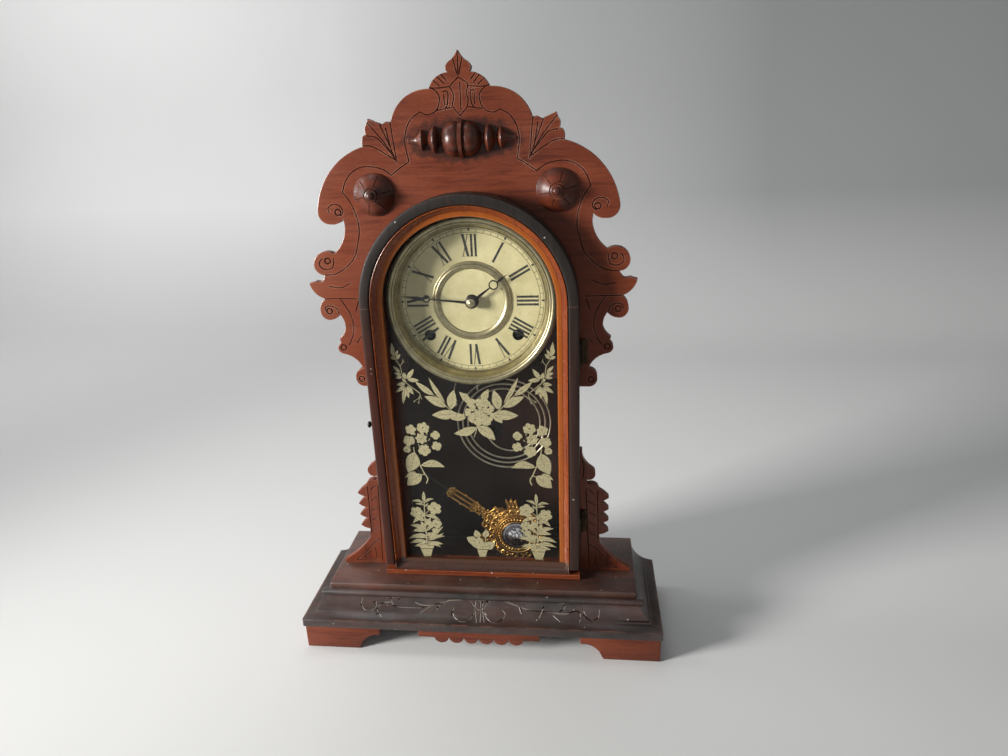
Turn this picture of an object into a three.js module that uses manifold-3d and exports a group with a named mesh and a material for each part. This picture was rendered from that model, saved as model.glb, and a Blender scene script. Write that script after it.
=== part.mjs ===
// Carved parlour shelf clock: arched door, painted dial, coil gong and a pendulum that lies unhooked.
// Millimetres. +X is to the viewer's right, +Y into the clock, +Z up; Y = 0 is the carved front's face.
import * as THREE from 'three';
import { mergeVertices } from 'three/addons/utils/BufferGeometryUtils.js';
import Module from 'manifold-3d';

const wasm = await Module();
wasm.setup();

// ---------- driving dimensions ----------
const GAP = 0.3;                 // clearance at a turned or cut contact
const ARC_STEP = Math.PI / 9;    // largest turn of one flat along an arc
const ARC_SAG = 0.35;            // how far a flat may cut inside its arc

// base
const BASE_WIDTH = 360;
const BASE_DEPTH = 124.5;
const FOOT_HEIGHT = 25.4;
const PLINTH_BOARD = 8.8;        // thickness of the plinth board
const COVE_HEIGHT = 16.6;
const BEAD_HEIGHT = 6.2;
const TOP_BOARD = 5;             // thickness of the base's top board
const COVE_INSET = 23;           // how far the cove draws in from the plinth's edge
const COVE_WALL = 12;            // width of the cove strip's top
const TOP_INSET = 24.2;          // top board's edge, in from the plinth's edge
const BEAD_PROUD = 6.8;          // how far the front bead stands out of the top board's edge
const BACK_RAIL = 10;            // thickness of the base's back rail
const FOOT_INSET = 1.7;          // foot's face, in from the plinth's edge
const FOOT_BOARD = 14;           // thickness of a foot's boards
const FOOT_LENGTH = 55;          // bracket foot's length on the ground
const FOOT_WING = 22.6;          // bracket foot's wing past that, under the plinth
const FOOT_WING_HEIGHT = 8.4;
const FOOT_RETURN = 42;          // length of a foot's side board
const APRON_HALF = 61;
const APRON_DROP = 7.4;
const APRON_SCALLOP = 7.5;       // radius of one scallop below the apron
const APRON_SCALLOPS = 6;
const APRON_BOARD = 5;

// case
const FRONT_BOARD = 8;           // thickness of the carved front and the stiles
const OPENING_HALF = 82.5;        // half width of the front's arched opening
const ARCH_Z = 346;              // spring line of the arches
const CASE_HALF = 98;            // half width of the case and the stiles
const CASE_SIDE = 12;            // thickness of a case side
const CASE_BACK_Y = 60;          // back face of the back board
const BACK_BOARD = 6;
const CASE_TOP_Z = 440;
const CASE_TOP = 12;             // thickness of the case's top
const CREST_FOOT_Z = 264;        // where the carved board ends and the stiles start
const CREST_TIP_Z = 559;
const PLATE_CLEAR = 3;           // from the movement's plates to the battens beside them
const BATTEN_DEPTH = 12;
const BATTEN_LOW_Z = 268;
const BATTEN_HIGH_Z = 420;

// door
const DOOR_HALF = 100;
const DOOR_FRONT_Y = -20;
const DOOR_BACK_Y = -0.4;
const BAND = 9.7;                // width of the flat band round the door
const RAIL_BAND = 5.6;           // height of that band on the bottom rail
const MOULDING_WIDTH = 10.3;
const GLASS_FRONT_Y = -10.5;
const GLASS = 2;                 // thickness of the glass
const GLASS_LAP = 4.3;           // how far the glass goes behind the moulding
const DOOR_FLOOR_GAP = 0.3;

// hinges and knob
const HINGE_X = 102.2;
const HINGE_Y = -2;
const KNUCKLE_RADIUS = 1.8;
const PIN_RADIUS = 0.8;
const HINGE_LENGTH = 24;
const HINGE_LEAF = 1;            // thickness of a leaf
const CASE_LEAF_WIDTH = 5.3;
const HINGE_CENTRES = { upper: 299, lower: 120 };
const KNOB_Z = 229;
const KNOB_Y = -13;
const KNOB_RADIUS = 3.3;
const KNOB_LENGTH = 5.5;

// dial and hands
const DIAL_Z = 345;
const DIAL_Y = 11;               // face of the dial
const DIAL_PAN = 1;              // thickness of the dial pan
const DIAL_RADIUS = 79;
const BEZEL_RADIUS = 80.2;
const BEZEL_SIGHT = 68;          // bezel's inner radius
const BEZEL_FRONT_Y = -1;
const RING_OUTER = 37.8;         // raised ring round the dial's centre
const RING_INNER = 30.2;
const RING_PROUD = 2;
const WINDING_X = 42.3;
const WINDING_Z = 312;
const WINDING_HOLE = 4.6;
const EYELET_RADIUS = 6.2;
const MINUTE_LENGTH = 64;
const HOUR_LENGTH = 39;
const MINUTE_Y = 3;              // front face of the minute hand
const HOUR_Y = 6;
const HAND = 0.8;                // thickness of a hand
const TIME_HOURS = 1 + 46 / 60;  // the time that the hands show

// movement
const PLATE_HALF = 64;
const PLATE_LOW_Z = 278;
const PLATE_HIGH_Z = 404;
const FRONT_PLATE_Y = 19;
const PLATE = 1.6;
const BACK_PLATE_Y = 42.4;
const PILLAR_RADIUS = 3;
const PILLAR_INSET = 6;
const CENTRE_PIPE = 2.2;         // radius of the cannon pinion's pipe
const HOUR_PIPE = 3.6;
const ESCAPE_Z = 368;
const VERGE_Z = 386;
const LEADER_Z = 399;            // where the suspension spring is held
const LEADER_Y = 13;
const LEADER = 1.2;              // thickness of the leader's wire
const HOOK_Z = 256;              // the leader's hook, where the pendulum hangs
const GREAT_RADIUS = 22;
const SPRING_RADIUS = 19;

// gong and hammer
const GONG_X = 22.3;
const GONG_Z = 206.5;
const GONG_Y = 46;
const GONG_WIRE = 0.9;           // radius of the gong's wire
const GONG_INNER = 34.4;
const GONG_PITCH = 5.4;
const GONG_TURNS = 3.2;
const GONG_START = -2.51;        // angle of the block seen from the coil's centre
const GONG_POST = 18.5;          // distance of the block from the coil's centre
const HAMMER_X = -14;
const HAMMER_Z = 290;
const HAMMER_HEAD = 3.6;

// pendulum, as it leans in the case
const BOB_X = 33.9;
const BOB_Z = 92.8;
const BOB_Y = 16;
const BOB_RADIUS = 30.2;
const BOB_THICK = 9;
const JEWEL_RADIUS = 13.5;
const PENDULUM_LEAN = 54.5 * Math.PI / 180;   // from hanging straight to the photographed lean
const PENDULUM_LENGTH = 143;                  // bob's centre to the eye
const PENDULUM_Y = 15.2;
const GRID_START = 50;           // the gridiron stem, from the bob's centre
const GRID_END = 85;
const GRID_WIDTH = 12.5;

// worked out from these
const HALF_WIDTH = BASE_WIDTH / 2;
const HALF_DEPTH = BASE_DEPTH / 2;
const PLINTH_TOP_Z = FOOT_HEIGHT + PLINTH_BOARD;
const COVE_TOP_Z = PLINTH_TOP_Z + COVE_HEIGHT;
const BEAD_TOP_Z = COVE_TOP_Z + BEAD_HEIGHT;
const BASE_TOP_Z = BEAD_TOP_Z + TOP_BOARD;
const DOOR_LOW_Z = BASE_TOP_Z + DOOR_FLOOR_GAP;
const BACK_BOARD_Y = CASE_BACK_Y - BACK_BOARD;
const BATTEN_WIDTH = CASE_HALF - CASE_SIDE - PLATE_HALF - PLATE_CLEAR;
const MOULDING_HALF = DOOR_HALF - BAND - GAP;
const SIGHT_HALF = MOULDING_HALF - MOULDING_WIDTH;
const MOULDING_LOW_Z = DOOR_LOW_Z + RAIL_BAND + GAP;

// ---------- materials ----------
const finish = (color, roughness, metalness = 0) => (
  new THREE.MeshStandardMaterial({ color, roughness, metalness }));
const WALNUT = finish(0x6b2a17, 0.35);
const EBONISED = finish(0x2a2422, 0.4);
const MOULDING_WOOD = finish(0xa4481f, 0.35);
const CASE_WOOD = finish(0x2d1a12, 0.7);
const GLASS_CLEAR = finish(0xcfd6d2, 0.05);
const BRASS = finish(0xa88b4c, 0.35, 1);
const GILT = finish(0xb8913f, 0.4, 1);
const DIAL_CREAM = finish(0xd9cfa6, 0.7);
const BLUED = finish(0x1d1c20, 0.4, 1);
const STEEL = finish(0xb9b9ae, 0.35, 1);
const IRON = finish(0x2f2e2d, 0.6, 1);
const JEWEL = finish(0xd9dde0, 0.15, 1);

// ---------- shapes ----------
function toSolid(geometry) {
  const bare = geometry.clone();
  bare.deleteAttribute('normal');
  bare.deleteAttribute('uv');
  const merged = mergeVertices(bare, 1e-4);
  return new wasm.Manifold(new wasm.Mesh({
    numProp: 3,
    vertProperties: Float32Array.from(merged.attributes.position.array),
    triVerts: Uint32Array.from(merged.index.array),
  }));
}

function toGeometry(solid) {
  const mesh = solid.getMesh();
  const geometry = new THREE.BufferGeometry();
  geometry.setAttribute('position', new THREE.BufferAttribute(Float32Array.from(mesh.vertProperties), 3));
  geometry.setIndex(new THREE.BufferAttribute(Uint32Array.from(mesh.triVerts), 1));
  return geometry;
}

const join = (...shapes) => toGeometry(shapes.map(toSolid).reduce((sum, next) => sum.add(next)));
const cut = (shape, ...tools) => (
  toGeometry(tools.reduce((rest, tool) => rest.subtract(toSolid(tool)), toSolid(shape))));
const keep = (shape, room) => toGeometry(toSolid(shape).intersect(toSolid(room)));

// Points of the arc from start to end, without its ends. The bulge is the arc's height over half its
// chord, positive to the left of the way from start to end.
function arcBetween(start, end, bulge) {
  const turn = 4 * Math.atan(bulge);
  const chord = end.clone().sub(start);
  const radius = chord.length() / 2 / Math.sin(turn / 2);
  const step = Math.min(ARC_STEP, 2 * Math.acos(Math.max(0, 1 - ARC_SAG / Math.abs(radius))));
  const count = Math.max(2, Math.ceil(Math.abs(turn) / step));
  const left = new THREE.Vector2(-chord.y, chord.x).normalize();
  const centre = start.clone().add(end).multiplyScalar(0.5);
  centre.addScaledVector(left, -radius * Math.cos(turn / 2));
  const first = Math.atan2(start.y - centre.y, start.x - centre.x);
  const points = [];
  for (let i = 1; i < count; i += 1) {
    const angle = first - turn * i / count;
    points.push(new THREE.Vector2(Math.cos(angle), Math.sin(angle)).multiplyScalar(Math.abs(radius)).add(centre));
  }
  return points;
}

// An outline from [x, z] or [x, z, bulge] rows, the bulge being that of the arc that leads to the point.
function trace(rows) {
  const path = [];
  for (const [x, z, bulge = 0] of rows) {
    const end = new THREE.Vector2(x, z);
    if (path.length && bulge) path.push(...arcBetween(path.at(-1), end, bulge));
    path.push(end);
  }
  return path;
}

const flipped = (path) => path.map((point) => new THREE.Vector2(-point.x, point.y)).reverse();
const sided = (path, side) => (side > 0 ? path : flipped(path));

function circle(x, z, radius, count = 24) {
  return Array.from({ length: count }, (_, i) => {
    const angle = 2 * Math.PI * i / count;
    return new THREE.Vector2(x + radius * Math.cos(angle), z + radius * Math.sin(angle));
  });
}

// A board cut to an outline in the XZ plane, from front to back along Y.
function board(outline, front, back, holes = []) {
  const shape = new THREE.Shape(THREE.ShapeUtils.isClockWise(outline) ? [...outline].reverse() : outline);
  shape.holes = holes.map((hole) => new THREE.Path(hole));
  const geometry = new THREE.ExtrudeGeometry(shape, { depth: back - front, bevelEnabled: false });
  return geometry.rotateX(Math.PI / 2).translate(0, back, 0);
}

function block(x0, x1, y0, y1, z0, z1) {
  const geometry = new THREE.BoxGeometry(x1 - x0, y1 - y0, z1 - z0);
  return geometry.translate((x0 + x1) / 2, (y0 + y1) / 2, (z0 + z1) / 2);
}

// A turning about its own Y axis from [radius, y] rows, y rising, that start and end on the axis.
function turned(rows, segments = 24) {
  return new THREE.LatheGeometry(rows.map(([radius, y]) => new THREE.Vector2(radius, y)), segments);
}

const rod = (radius, from, to, segments = 12) => (
  turned([[0, from], [radius, from], [radius, to], [0, to]], segments));

// A flat ring from front to back about the Y axis.
function ring(outer, inner, front, back, segments = 24) {
  return cut(rod(outer, front, back, segments), rod(inner, front - 1, back + 1, segments));
}

function tube(curve, radius, sides, steps) {
  const section = new THREE.Shape(circle(0, 0, radius, sides));
  return new THREE.ExtrudeGeometry(section, { steps, extrudePath: curve, bevelEnabled: false });
}

const straightTube = (points, radius, sides, steps) => {
  const curve = new THREE.CatmullRomCurve3(points.map((point) => new THREE.Vector3(...point)));
  return tube(curve, radius, sides, steps);
};

// A stack of rectangles, each given as [half width, front y, back y, z].
function rectangleLoft(levels) {
  const corners = levels.flatMap(([half, front, back, z]) => (
    [[-half, front, z], [half, front, z], [half, back, z], [-half, back, z]]));
  const faces = [0, 2, 1, 0, 3, 2];
  for (let level = 0; level < levels.length - 1; level += 1) {
    for (let side = 0; side < 4; side += 1) {
      const a = level * 4 + side;
      const b = level * 4 + (side + 1) % 4;
      faces.push(a, b, b + 4, a, b + 4, a + 4);
    }
  }
  const top = (levels.length - 1) * 4;
  faces.push(top, top + 1, top + 2, top, top + 2, top + 3);
  const geometry = new THREE.BufferGeometry();
  geometry.setAttribute('position', new THREE.Float32BufferAttribute(corners.flat(), 3));
  geometry.setIndex(faces);
  return geometry;
}

const clock = new THREE.Group();
function add(parent, name, geometry, material) {
  const mesh = new THREE.Mesh(geometry, material);
  mesh.name = name;
  parent.add(mesh);
  return mesh;
}

function group(parent, x, y, z) {
  const holder = new THREE.Group();
  holder.position.set(x, y, z);
  parent.add(holder);
  return holder;
}

const SIDES = [['left', -1], ['right', 1]];

// ---------- base ----------
function coveLevels() {
  // the cove: a hollow quarter from the plinth's edge up to the bead
  const start = new THREE.Vector2(0, PLINTH_TOP_Z);
  const end = new THREE.Vector2(COVE_INSET, COVE_TOP_Z);
  const section = [start, ...arcBetween(start, end, -0.3), end];
  return section.map(({ x, y }) => [HALF_WIDTH - x, x - HALF_DEPTH, HALF_DEPTH, y]);
}

function frontFoot(side) {
  const outer = HALF_WIDTH - FOOT_INSET;
  const inner = outer - FOOT_LENGTH;
  const wingLow = FOOT_HEIGHT - FOOT_WING_HEIGHT;
  const rise = wingLow / (FOOT_WING - 4);
  const outline = trace([
    [outer, FOOT_HEIGHT], [outer, 0], [inner, 0],
    [inner - 2, wingLow * 0.25], [inner - FOOT_WING + 6, wingLow, -0.3 * rise],
    [inner - FOOT_WING, wingLow], [inner - FOOT_WING, FOOT_HEIGHT]]);
  const front = FOOT_INSET - HALF_DEPTH;
  const face = board(sided(outline, side), front, front + FOOT_BOARD);
  const near = side * outer;
  const far = side * (outer - FOOT_BOARD);
  const flank = block(Math.min(near, far), Math.max(near, far), front, front + FOOT_RETURN, 0, FOOT_HEIGHT);
  return join(face, flank);
}

function backFoot(side) {
  const near = side * (HALF_WIDTH - FOOT_INSET);
  const far = side * (HALF_WIDTH - FOOT_INSET - FOOT_RETURN);
  return block(Math.min(near, far), Math.max(near, far), HALF_DEPTH - FOOT_RETURN, HALF_DEPTH, 0, FOOT_HEIGHT);
}

function apron() {
  const low = FOOT_HEIGHT - APRON_DROP;
  const span = APRON_SCALLOP * APRON_SCALLOPS;
  const rows = [[-APRON_HALF, FOOT_HEIGHT], [-APRON_HALF, low], [-span, low]];
  for (let i = 1; i <= APRON_SCALLOPS; i += 1) rows.push([-span + 2 * APRON_SCALLOP * i, low, -0.85]);
  rows.push([APRON_HALF, low], [APRON_HALF, FOOT_HEIGHT]);
  const front = FOOT_INSET - HALF_DEPTH;
  return board(trace(rows), front, front + APRON_BOARD);
}

function bead() {
  const half = HALF_WIDTH - TOP_INSET + BEAD_PROUD;
  const back = TOP_INSET - HALF_DEPTH;
  const start = new THREE.Vector2(back, COVE_TOP_Z);
  const nose = back - BEAD_PROUD + BEAD_HEIGHT / 2;
  const section = new THREE.Shape([start, new THREE.Vector2(nose, COVE_TOP_Z),
    ...arcBetween(new THREE.Vector2(nose, COVE_TOP_Z), new THREE.Vector2(nose, BEAD_TOP_Z), 1),
    new THREE.Vector2(nose, BEAD_TOP_Z), new THREE.Vector2(back, BEAD_TOP_Z)]);
  const geometry = new THREE.ExtrudeGeometry(section, { depth: 2 * half, bevelEnabled: false });
  // the section's x becomes Y and its y becomes Z, drawn out along X
  return geometry.rotateX(Math.PI / 2).rotateZ(Math.PI / 2).translate(-half, 0, 0);
}

function makeBase() {
  add(clock, 'plinth_board', block(-HALF_WIDTH, HALF_WIDTH, -HALF_DEPTH, HALF_DEPTH,
    FOOT_HEIGHT, PLINTH_TOP_Z), EBONISED);
  const strip = COVE_INSET + COVE_WALL;
  add(clock, 'base_cove', cut(rectangleLoft(coveLevels()), block(strip - HALF_WIDTH, HALF_WIDTH - strip,
    strip - HALF_DEPTH, HALF_DEPTH + 1, PLINTH_TOP_Z - 1, COVE_TOP_Z + 1)), EBONISED);
  add(clock, 'base_back_rail', block(strip + GAP - HALF_WIDTH, HALF_WIDTH - strip - GAP,
    HALF_DEPTH - BACK_RAIL, HALF_DEPTH, PLINTH_TOP_Z, COVE_TOP_Z), CASE_WOOD);
  add(clock, 'base_bead', bead(), EBONISED);
  const half = HALF_WIDTH - TOP_INSET;
  // the top board is rebated over the bead, which fills its front edge's lower part
  const lower = block(-half, half, TOP_INSET - HALF_DEPTH, HALF_DEPTH, COVE_TOP_Z, BEAD_TOP_Z + 0.01);
  const upper = block(-half, half, TOP_INSET - HALF_DEPTH, HALF_DEPTH, BEAD_TOP_Z, BASE_TOP_Z);
  add(clock, 'base_top_board', join(lower, upper), EBONISED);
  add(clock, 'base_apron', apron(), WALNUT);
  for (const [word, side] of SIDES) {
    add(clock, `foot_front_${word}`, frontFoot(side), WALNUT);
    add(clock, `foot_back_${word}`, backFoot(side), WALNUT);
  }
}

// ---------- carved front ----------
// Right half of the crest's edge from its tip down to the ball above the stile, as [x, z, bulge].
const CREST_EDGE = [
  [0, CREST_TIP_Z], [5.6, 551.6, -0.1], [10.7, 546.8, 0.2], [9.2, 542.2, 0.3],            // finial
  [12.5, 541.8], [25.7, 530.3, 0.26],                                                     // shoulder
  [28.8, 530.2], [60.8, 505.2, 0.33],                                                     // second tier
  [64.8, 505.6], [69.3, 503.2], [73.6, 505.2, 0.1], [81, 508.4], [84.2, 501.2, -0.1],     // side leaf
  [83.6, 495.6, 0.1], [86.8, 493.8, 0.2], [87.4, 486, 0.2],
  [134.8, 433, 0.3], [123.4, 419.9, 0.5], [112, 424.2, 0.25],                             // great arc
  [111.2, 419], [124.4, 393.3, -0.23],                                                    // neck
  [144.7, 384.2, 0.56], [135.4, 373.6, 0.42],                                             // second scroll
  [139.8, 367.3, -0.2], [145.2, 368, -0.1], [151.3, 366.2, -0.1], [137.9, 351.3, 0.28],   // spike
  [143.8, 341.3, 0.25], [135.4, 330.7, 0.48], [124.9, 335.7, 0.2],                        // third scroll
  [121.2, 323.5, -0.18], [128.6, 312.5, -0.2], [127.6, 308.4, -0.15],                     // waist
  [130.8, 301.8, 0.3], [125.8, 297, 0.3], [108.2, 282.2, -0.28],                          // small scroll
  [116.4, 273.4, 0.42], [107.5, 264, 0.5],                                                // ball
];

// Right half of the spindle, as [radius, x] from its middle out.
const SPINDLE_HALF = [
  [16, 0], [16, 1.5], [13.2, 1.9], [14.4, 4.5], [14.5, 7.5], [13, 11.5], [9.6, 15], [5.4, 17.2],
  [4.4, 18.6], [7.4, 20.2], [11, 22.4], [11, 24.2], [8, 26.8], [4.4, 29], [4.4, 30.2], [8.6, 33.4],
  [8.6, 34.8], [5.6, 37.2], [3.4, 41.6], [3, 43.2], [2.6, 46.6], [0, 47.6],
];
const SPINDLE_Z = 489.2;
const SPINDLE_SUNK = 1.5;        // how far the spindle's axis lies behind the board's face, where it is split
const ROSETTE_X = 81;
const ROSETTE_Z = 445;
const ROSETTE_ROWS = [           // [radius, height off the board]
  [0, 0], [18.3, 0], [18.3, 2], [16.6, 3.2], [7.2, 10.4], [6.6, 10], [5.6, 10.4], [5.4, 12], [3, 12.6],
  [3.4, 14], [2.9, 15.4], [1.4, 16.4], [0, 16.6],
];
const BRACKET_TOP_Z = 199;

function crestBoard() {
  const edge = trace(CREST_EDGE);
  const arch = trace([[OPENING_HALF, CREST_FOOT_Z], [OPENING_HALF, ARCH_Z], [0, ARCH_Z + OPENING_HALF, -Math.tan(Math.PI / 8)]]);
  const right = [...edge, new THREE.Vector2(CASE_HALF, CREST_FOOT_Z), ...arch];
  const outline = [...right, ...flipped(right).slice(1, -1)];
  return board(outline, 0, FRONT_BOARD);
}

function spindle() {
  const rows = [...SPINDLE_HALF.slice(1).reverse().map(([radius, x]) => [radius, -x]), ...SPINDLE_HALF.slice(1)];
  const full = turned(rows, 16).rotateZ(-Math.PI / 2).translate(0, SPINDLE_SUNK, SPINDLE_Z);
  return keep(full, block(-60, 60, -30, 0, SPINDLE_Z - 30, SPINDLE_Z + 30));
}

function lowerBracket(side) {
  const rows = [[CASE_HALF, BRACKET_TOP_Z], [102.4, BRACKET_TOP_Z - 1], [106.2, 183.4, -0.2],
    [112.5, 177.5, -0.1], [106.3, 166, 0.9], [108, 160.6, -0.2], [117.4, 158.6, 0.3]];
  for (let tooth = 0; tooth < 4; tooth += 1) {
    const z = 154 - 12.6 * tooth;
    rows.push([119.5, z], [128.8, z - 8, 0.1], [119.5, z - 12.4, 0.15]);
  }
  rows.push([120.2, 93.5], [151, BASE_TOP_Z + 2.6, -0.12], [150, BASE_TOP_Z, 0.4], [CASE_HALF, BASE_TOP_Z]);
  return board(sided(trace(rows), side), 0, FRONT_BOARD);
}

function makeFront() {
  add(clock, 'crest_board', crestBoard(), WALNUT);
  add(clock, 'crest_spindle', spindle(), EBONISED);
  for (const [word, side] of SIDES) {
    const rosette = group(clock, side * ROSETTE_X, 0, ROSETTE_Z);
    rosette.rotation.x = Math.PI;
    add(rosette, `rosette_${word}`, turned(ROSETTE_ROWS, 20), EBONISED);
    const near = side * CASE_HALF;
    const far = side * OPENING_HALF;
    add(clock, `front_stile_${word}`, block(Math.min(near, far), Math.max(near, far), 0, FRONT_BOARD,
      BASE_TOP_Z, CREST_FOOT_Z), WALNUT);
    add(clock, `lower_bracket_${word}`, lowerBracket(side), WALNUT);
  }
}

// ---------- case ----------
function makeCase() {
  for (const [word, side] of SIDES) {
    const outer = side * CASE_HALF;
    const inner = side * (CASE_HALF - CASE_SIDE);
    add(clock, `case_side_${word}`, block(Math.min(outer, inner), Math.max(outer, inner), FRONT_BOARD,
      BACK_BOARD_Y, BASE_TOP_Z, CASE_TOP_Z), WALNUT);
    const batten = side * (CASE_HALF - CASE_SIDE - BATTEN_WIDTH);
    const front = DIAL_Y + DIAL_PAN;
    add(clock, `dial_batten_${word}`, block(Math.min(batten, inner), Math.max(batten, inner), front,
      front + BATTEN_DEPTH, BATTEN_LOW_Z, BATTEN_HIGH_Z), CASE_WOOD);
  }
  const inside = CASE_HALF - CASE_SIDE;
  add(clock, 'case_top', block(-inside, inside, FRONT_BOARD, BACK_BOARD_Y, CASE_TOP_Z - CASE_TOP,
    CASE_TOP_Z), WALNUT);
  add(clock, 'back_board', block(-CASE_HALF, CASE_HALF, BACK_BOARD_Y, CASE_BACK_Y, BASE_TOP_Z,
    CASE_TOP_Z), CASE_WOOD);
}

// ---------- door ----------
// A closed arched loop in XZ at a half width, with its bottom edge at low.
function archLoop(half, low) {
  const crown = ARCH_Z + half;
  const quarter = Math.tan(Math.PI / 8);
  return trace([[-half, low], [-half, ARCH_Z], [0, crown, quarter], [half, ARCH_Z, quarter], [half, low]]);
}

// Loops joined one after another into a closed moulding; each level is [half width, low z, y].
function loopMoulding(levels) {
  const loops = levels.map(([half, low, y]) => archLoop(half, low).map((point) => [point.x, y, point.y]));
  const count = loops[0].length;
  const faces = [];
  for (let level = 0; level < loops.length; level += 1) {
    const next = (level + 1) % loops.length;
    for (let i = 0; i < count; i += 1) {
      const j = (i + 1) % count;
      const [a, b, c, d] = [level * count + i, level * count + j, next * count + j, next * count + i];
      faces.push(a, c, b, a, d, c);
    }
  }
  const geometry = new THREE.BufferGeometry();
  geometry.setAttribute('position', new THREE.Float32BufferAttribute(loops.flat(2), 3));
  geometry.setIndex(faces);
  return geometry;
}

// The door frame's section is an L: the band in front and the glass rebate's shoulder behind.
function doorFrame() {
  const front = board(archLoop(DOOR_HALF, DOOR_LOW_Z), DOOR_FRONT_Y, DOOR_BACK_Y);
  const sight = board(archLoop(MOULDING_HALF + GAP, DOOR_LOW_Z + RAIL_BAND), DOOR_FRONT_Y - 1, GLASS_FRONT_Y);
  const rebate = SIGHT_HALF + GLASS_LAP + GAP;
  const low = MOULDING_LOW_Z + MOULDING_WIDTH - GLASS_LAP - GAP;
  return cut(front, sight, board(archLoop(rebate, low), DOOR_FRONT_Y - 1, DOOR_BACK_Y + 1));
}

function doorMoulding() {
  // across the moulding: [share of its width from the outer edge, y]
  const section = [[0, -18.4], [0.08, -19.4], [0.15, -17.8], [0.29, -16.3], [0.44, -15.1], [0.55, -14.1],
    [0.9, -13.8], [0.97, -13.4], [1, -12.4], [1, GLASS_FRONT_Y - GAP], [0, GLASS_FRONT_Y - GAP]];
  return loopMoulding(section.map(([share, y]) => {
    const across = share * MOULDING_WIDTH;
    return [MOULDING_HALF - across, MOULDING_LOW_Z + across, y];
  }));
}

function hingeLeaves(centre) {
  const half = HINGE_LENGTH / 2;
  const third = HINGE_LENGTH / 6;
  const upright = (radius, from, to) => (
    rod(radius, from, to, 16).rotateX(Math.PI / 2).translate(HINGE_X, HINGE_Y, centre));
  // the case leaf carries the pin and the two end knuckles
  const plate = block(HINGE_X, HINGE_X + CASE_LEAF_WIDTH, -HINGE_LEAF, 0, centre - half, centre + half);
  const room = block(HINGE_X - 4, HINGE_X + KNUCKLE_RADIUS + GAP, -9, 1, centre - third - GAP, centre + third + GAP);
  const ends = join(upright(KNUCKLE_RADIUS, third + GAP, half), upright(KNUCKLE_RADIUS, -half, -third - GAP));
  const caseLeaf = join(cut(plate, room), ends, upright(PIN_RADIUS, -half + 1, half - 1));
  // the door leaf lies on the door's edge and has the middle knuckle
  const leafBack = HINGE_Y - KNUCKLE_RADIUS - GAP;
  const doorPlate = block(DOOR_HALF, DOOR_HALF + HINGE_LEAF, DOOR_FRONT_Y + 3, leafBack, centre - half, centre + half);
  const tongue = block(DOOR_HALF, DOOR_HALF + HINGE_LEAF, leafBack - 1, HINGE_Y, centre - third, centre + third);
  const middle = upright(KNUCKLE_RADIUS, -third, third);
  const doorLeaf = cut(join(doorPlate, tongue, middle), upright(PIN_RADIUS + GAP, -third - 1, third + 1));
  return { caseLeaf, doorLeaf };
}

function makeDoor() {
  const frame = doorFrame();
  const far = DOOR_HALF + 5;
  const shoulder = SIGHT_HALF + GLASS_LAP + GAP;
  const railTop = MOULDING_LOW_Z + MOULDING_WIDTH - GLASS_LAP - GAP;
  for (const [word, side] of SIDES) {
    const near = side * (shoulder - 1);
    const room = block(Math.min(near, side * far), Math.max(near, side * far), DOOR_FRONT_Y - 1,
      DOOR_BACK_Y + 1, railTop, ARCH_Z);
    add(clock, `door_stile_${word}`, keep(frame, room), EBONISED);
  }
  add(clock, 'door_arch', keep(frame, block(-far, far, DOOR_FRONT_Y - 1, DOOR_BACK_Y + 1, ARCH_Z,
    ARCH_Z + far)), EBONISED);
  add(clock, 'door_rail', keep(frame, block(-far, far, DOOR_FRONT_Y - 1, DOOR_BACK_Y + 1, DOOR_LOW_Z - 1,
    railTop)), EBONISED);
  add(clock, 'door_moulding', doorMoulding(), MOULDING_WOOD);
  const glassHalf = SIGHT_HALF + GLASS_LAP;
  add(clock, 'door_glass', board(archLoop(glassHalf, MOULDING_LOW_Z + MOULDING_WIDTH - GLASS_LAP),
    GLASS_FRONT_Y, GLASS_FRONT_Y + GLASS), GLASS_CLEAR);
  for (const [word, centre] of Object.entries(HINGE_CENTRES)) {
    const { caseLeaf, doorLeaf } = hingeLeaves(centre);
    add(clock, `hinge_${word}_case_leaf`, caseLeaf, BRASS);
    add(clock, `hinge_${word}_door_leaf`, doorLeaf, BRASS);
  }
  const knob = group(clock, -DOOR_HALF, KNOB_Y, KNOB_Z);
  knob.rotation.z = Math.PI / 2;
  add(knob, 'door_knob', turned([[0, 0], [KNOB_RADIUS * 0.6, 0], [KNOB_RADIUS * 0.5, KNOB_LENGTH * 0.3],
    [KNOB_RADIUS, KNOB_LENGTH * 0.55], [KNOB_RADIUS * 0.8, KNOB_LENGTH * 0.9], [0, KNOB_LENGTH]], 16), IRON);
}

// ---------- dial and hands ----------
function dialPan() {
  const eyelet = (x) => rod(EYELET_RADIUS, DIAL_Y - 0.7, DIAL_Y + DIAL_PAN, 20).translate(x, 0, WINDING_Z - DIAL_Z);
  const hole = (x) => rod(WINDING_HOLE, DIAL_Y - 2, DIAL_Y + 3, 20).translate(x, 0, WINDING_Z - DIAL_Z);
  return cut(join(rod(DIAL_RADIUS, DIAL_Y, DIAL_Y + DIAL_PAN, 40), eyelet(-WINDING_X), eyelet(WINDING_X)),
    hole(-WINDING_X), hole(WINDING_X), rod(HOUR_PIPE + 1, DIAL_Y - 2, DIAL_Y + 3, 20));
}

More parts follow.
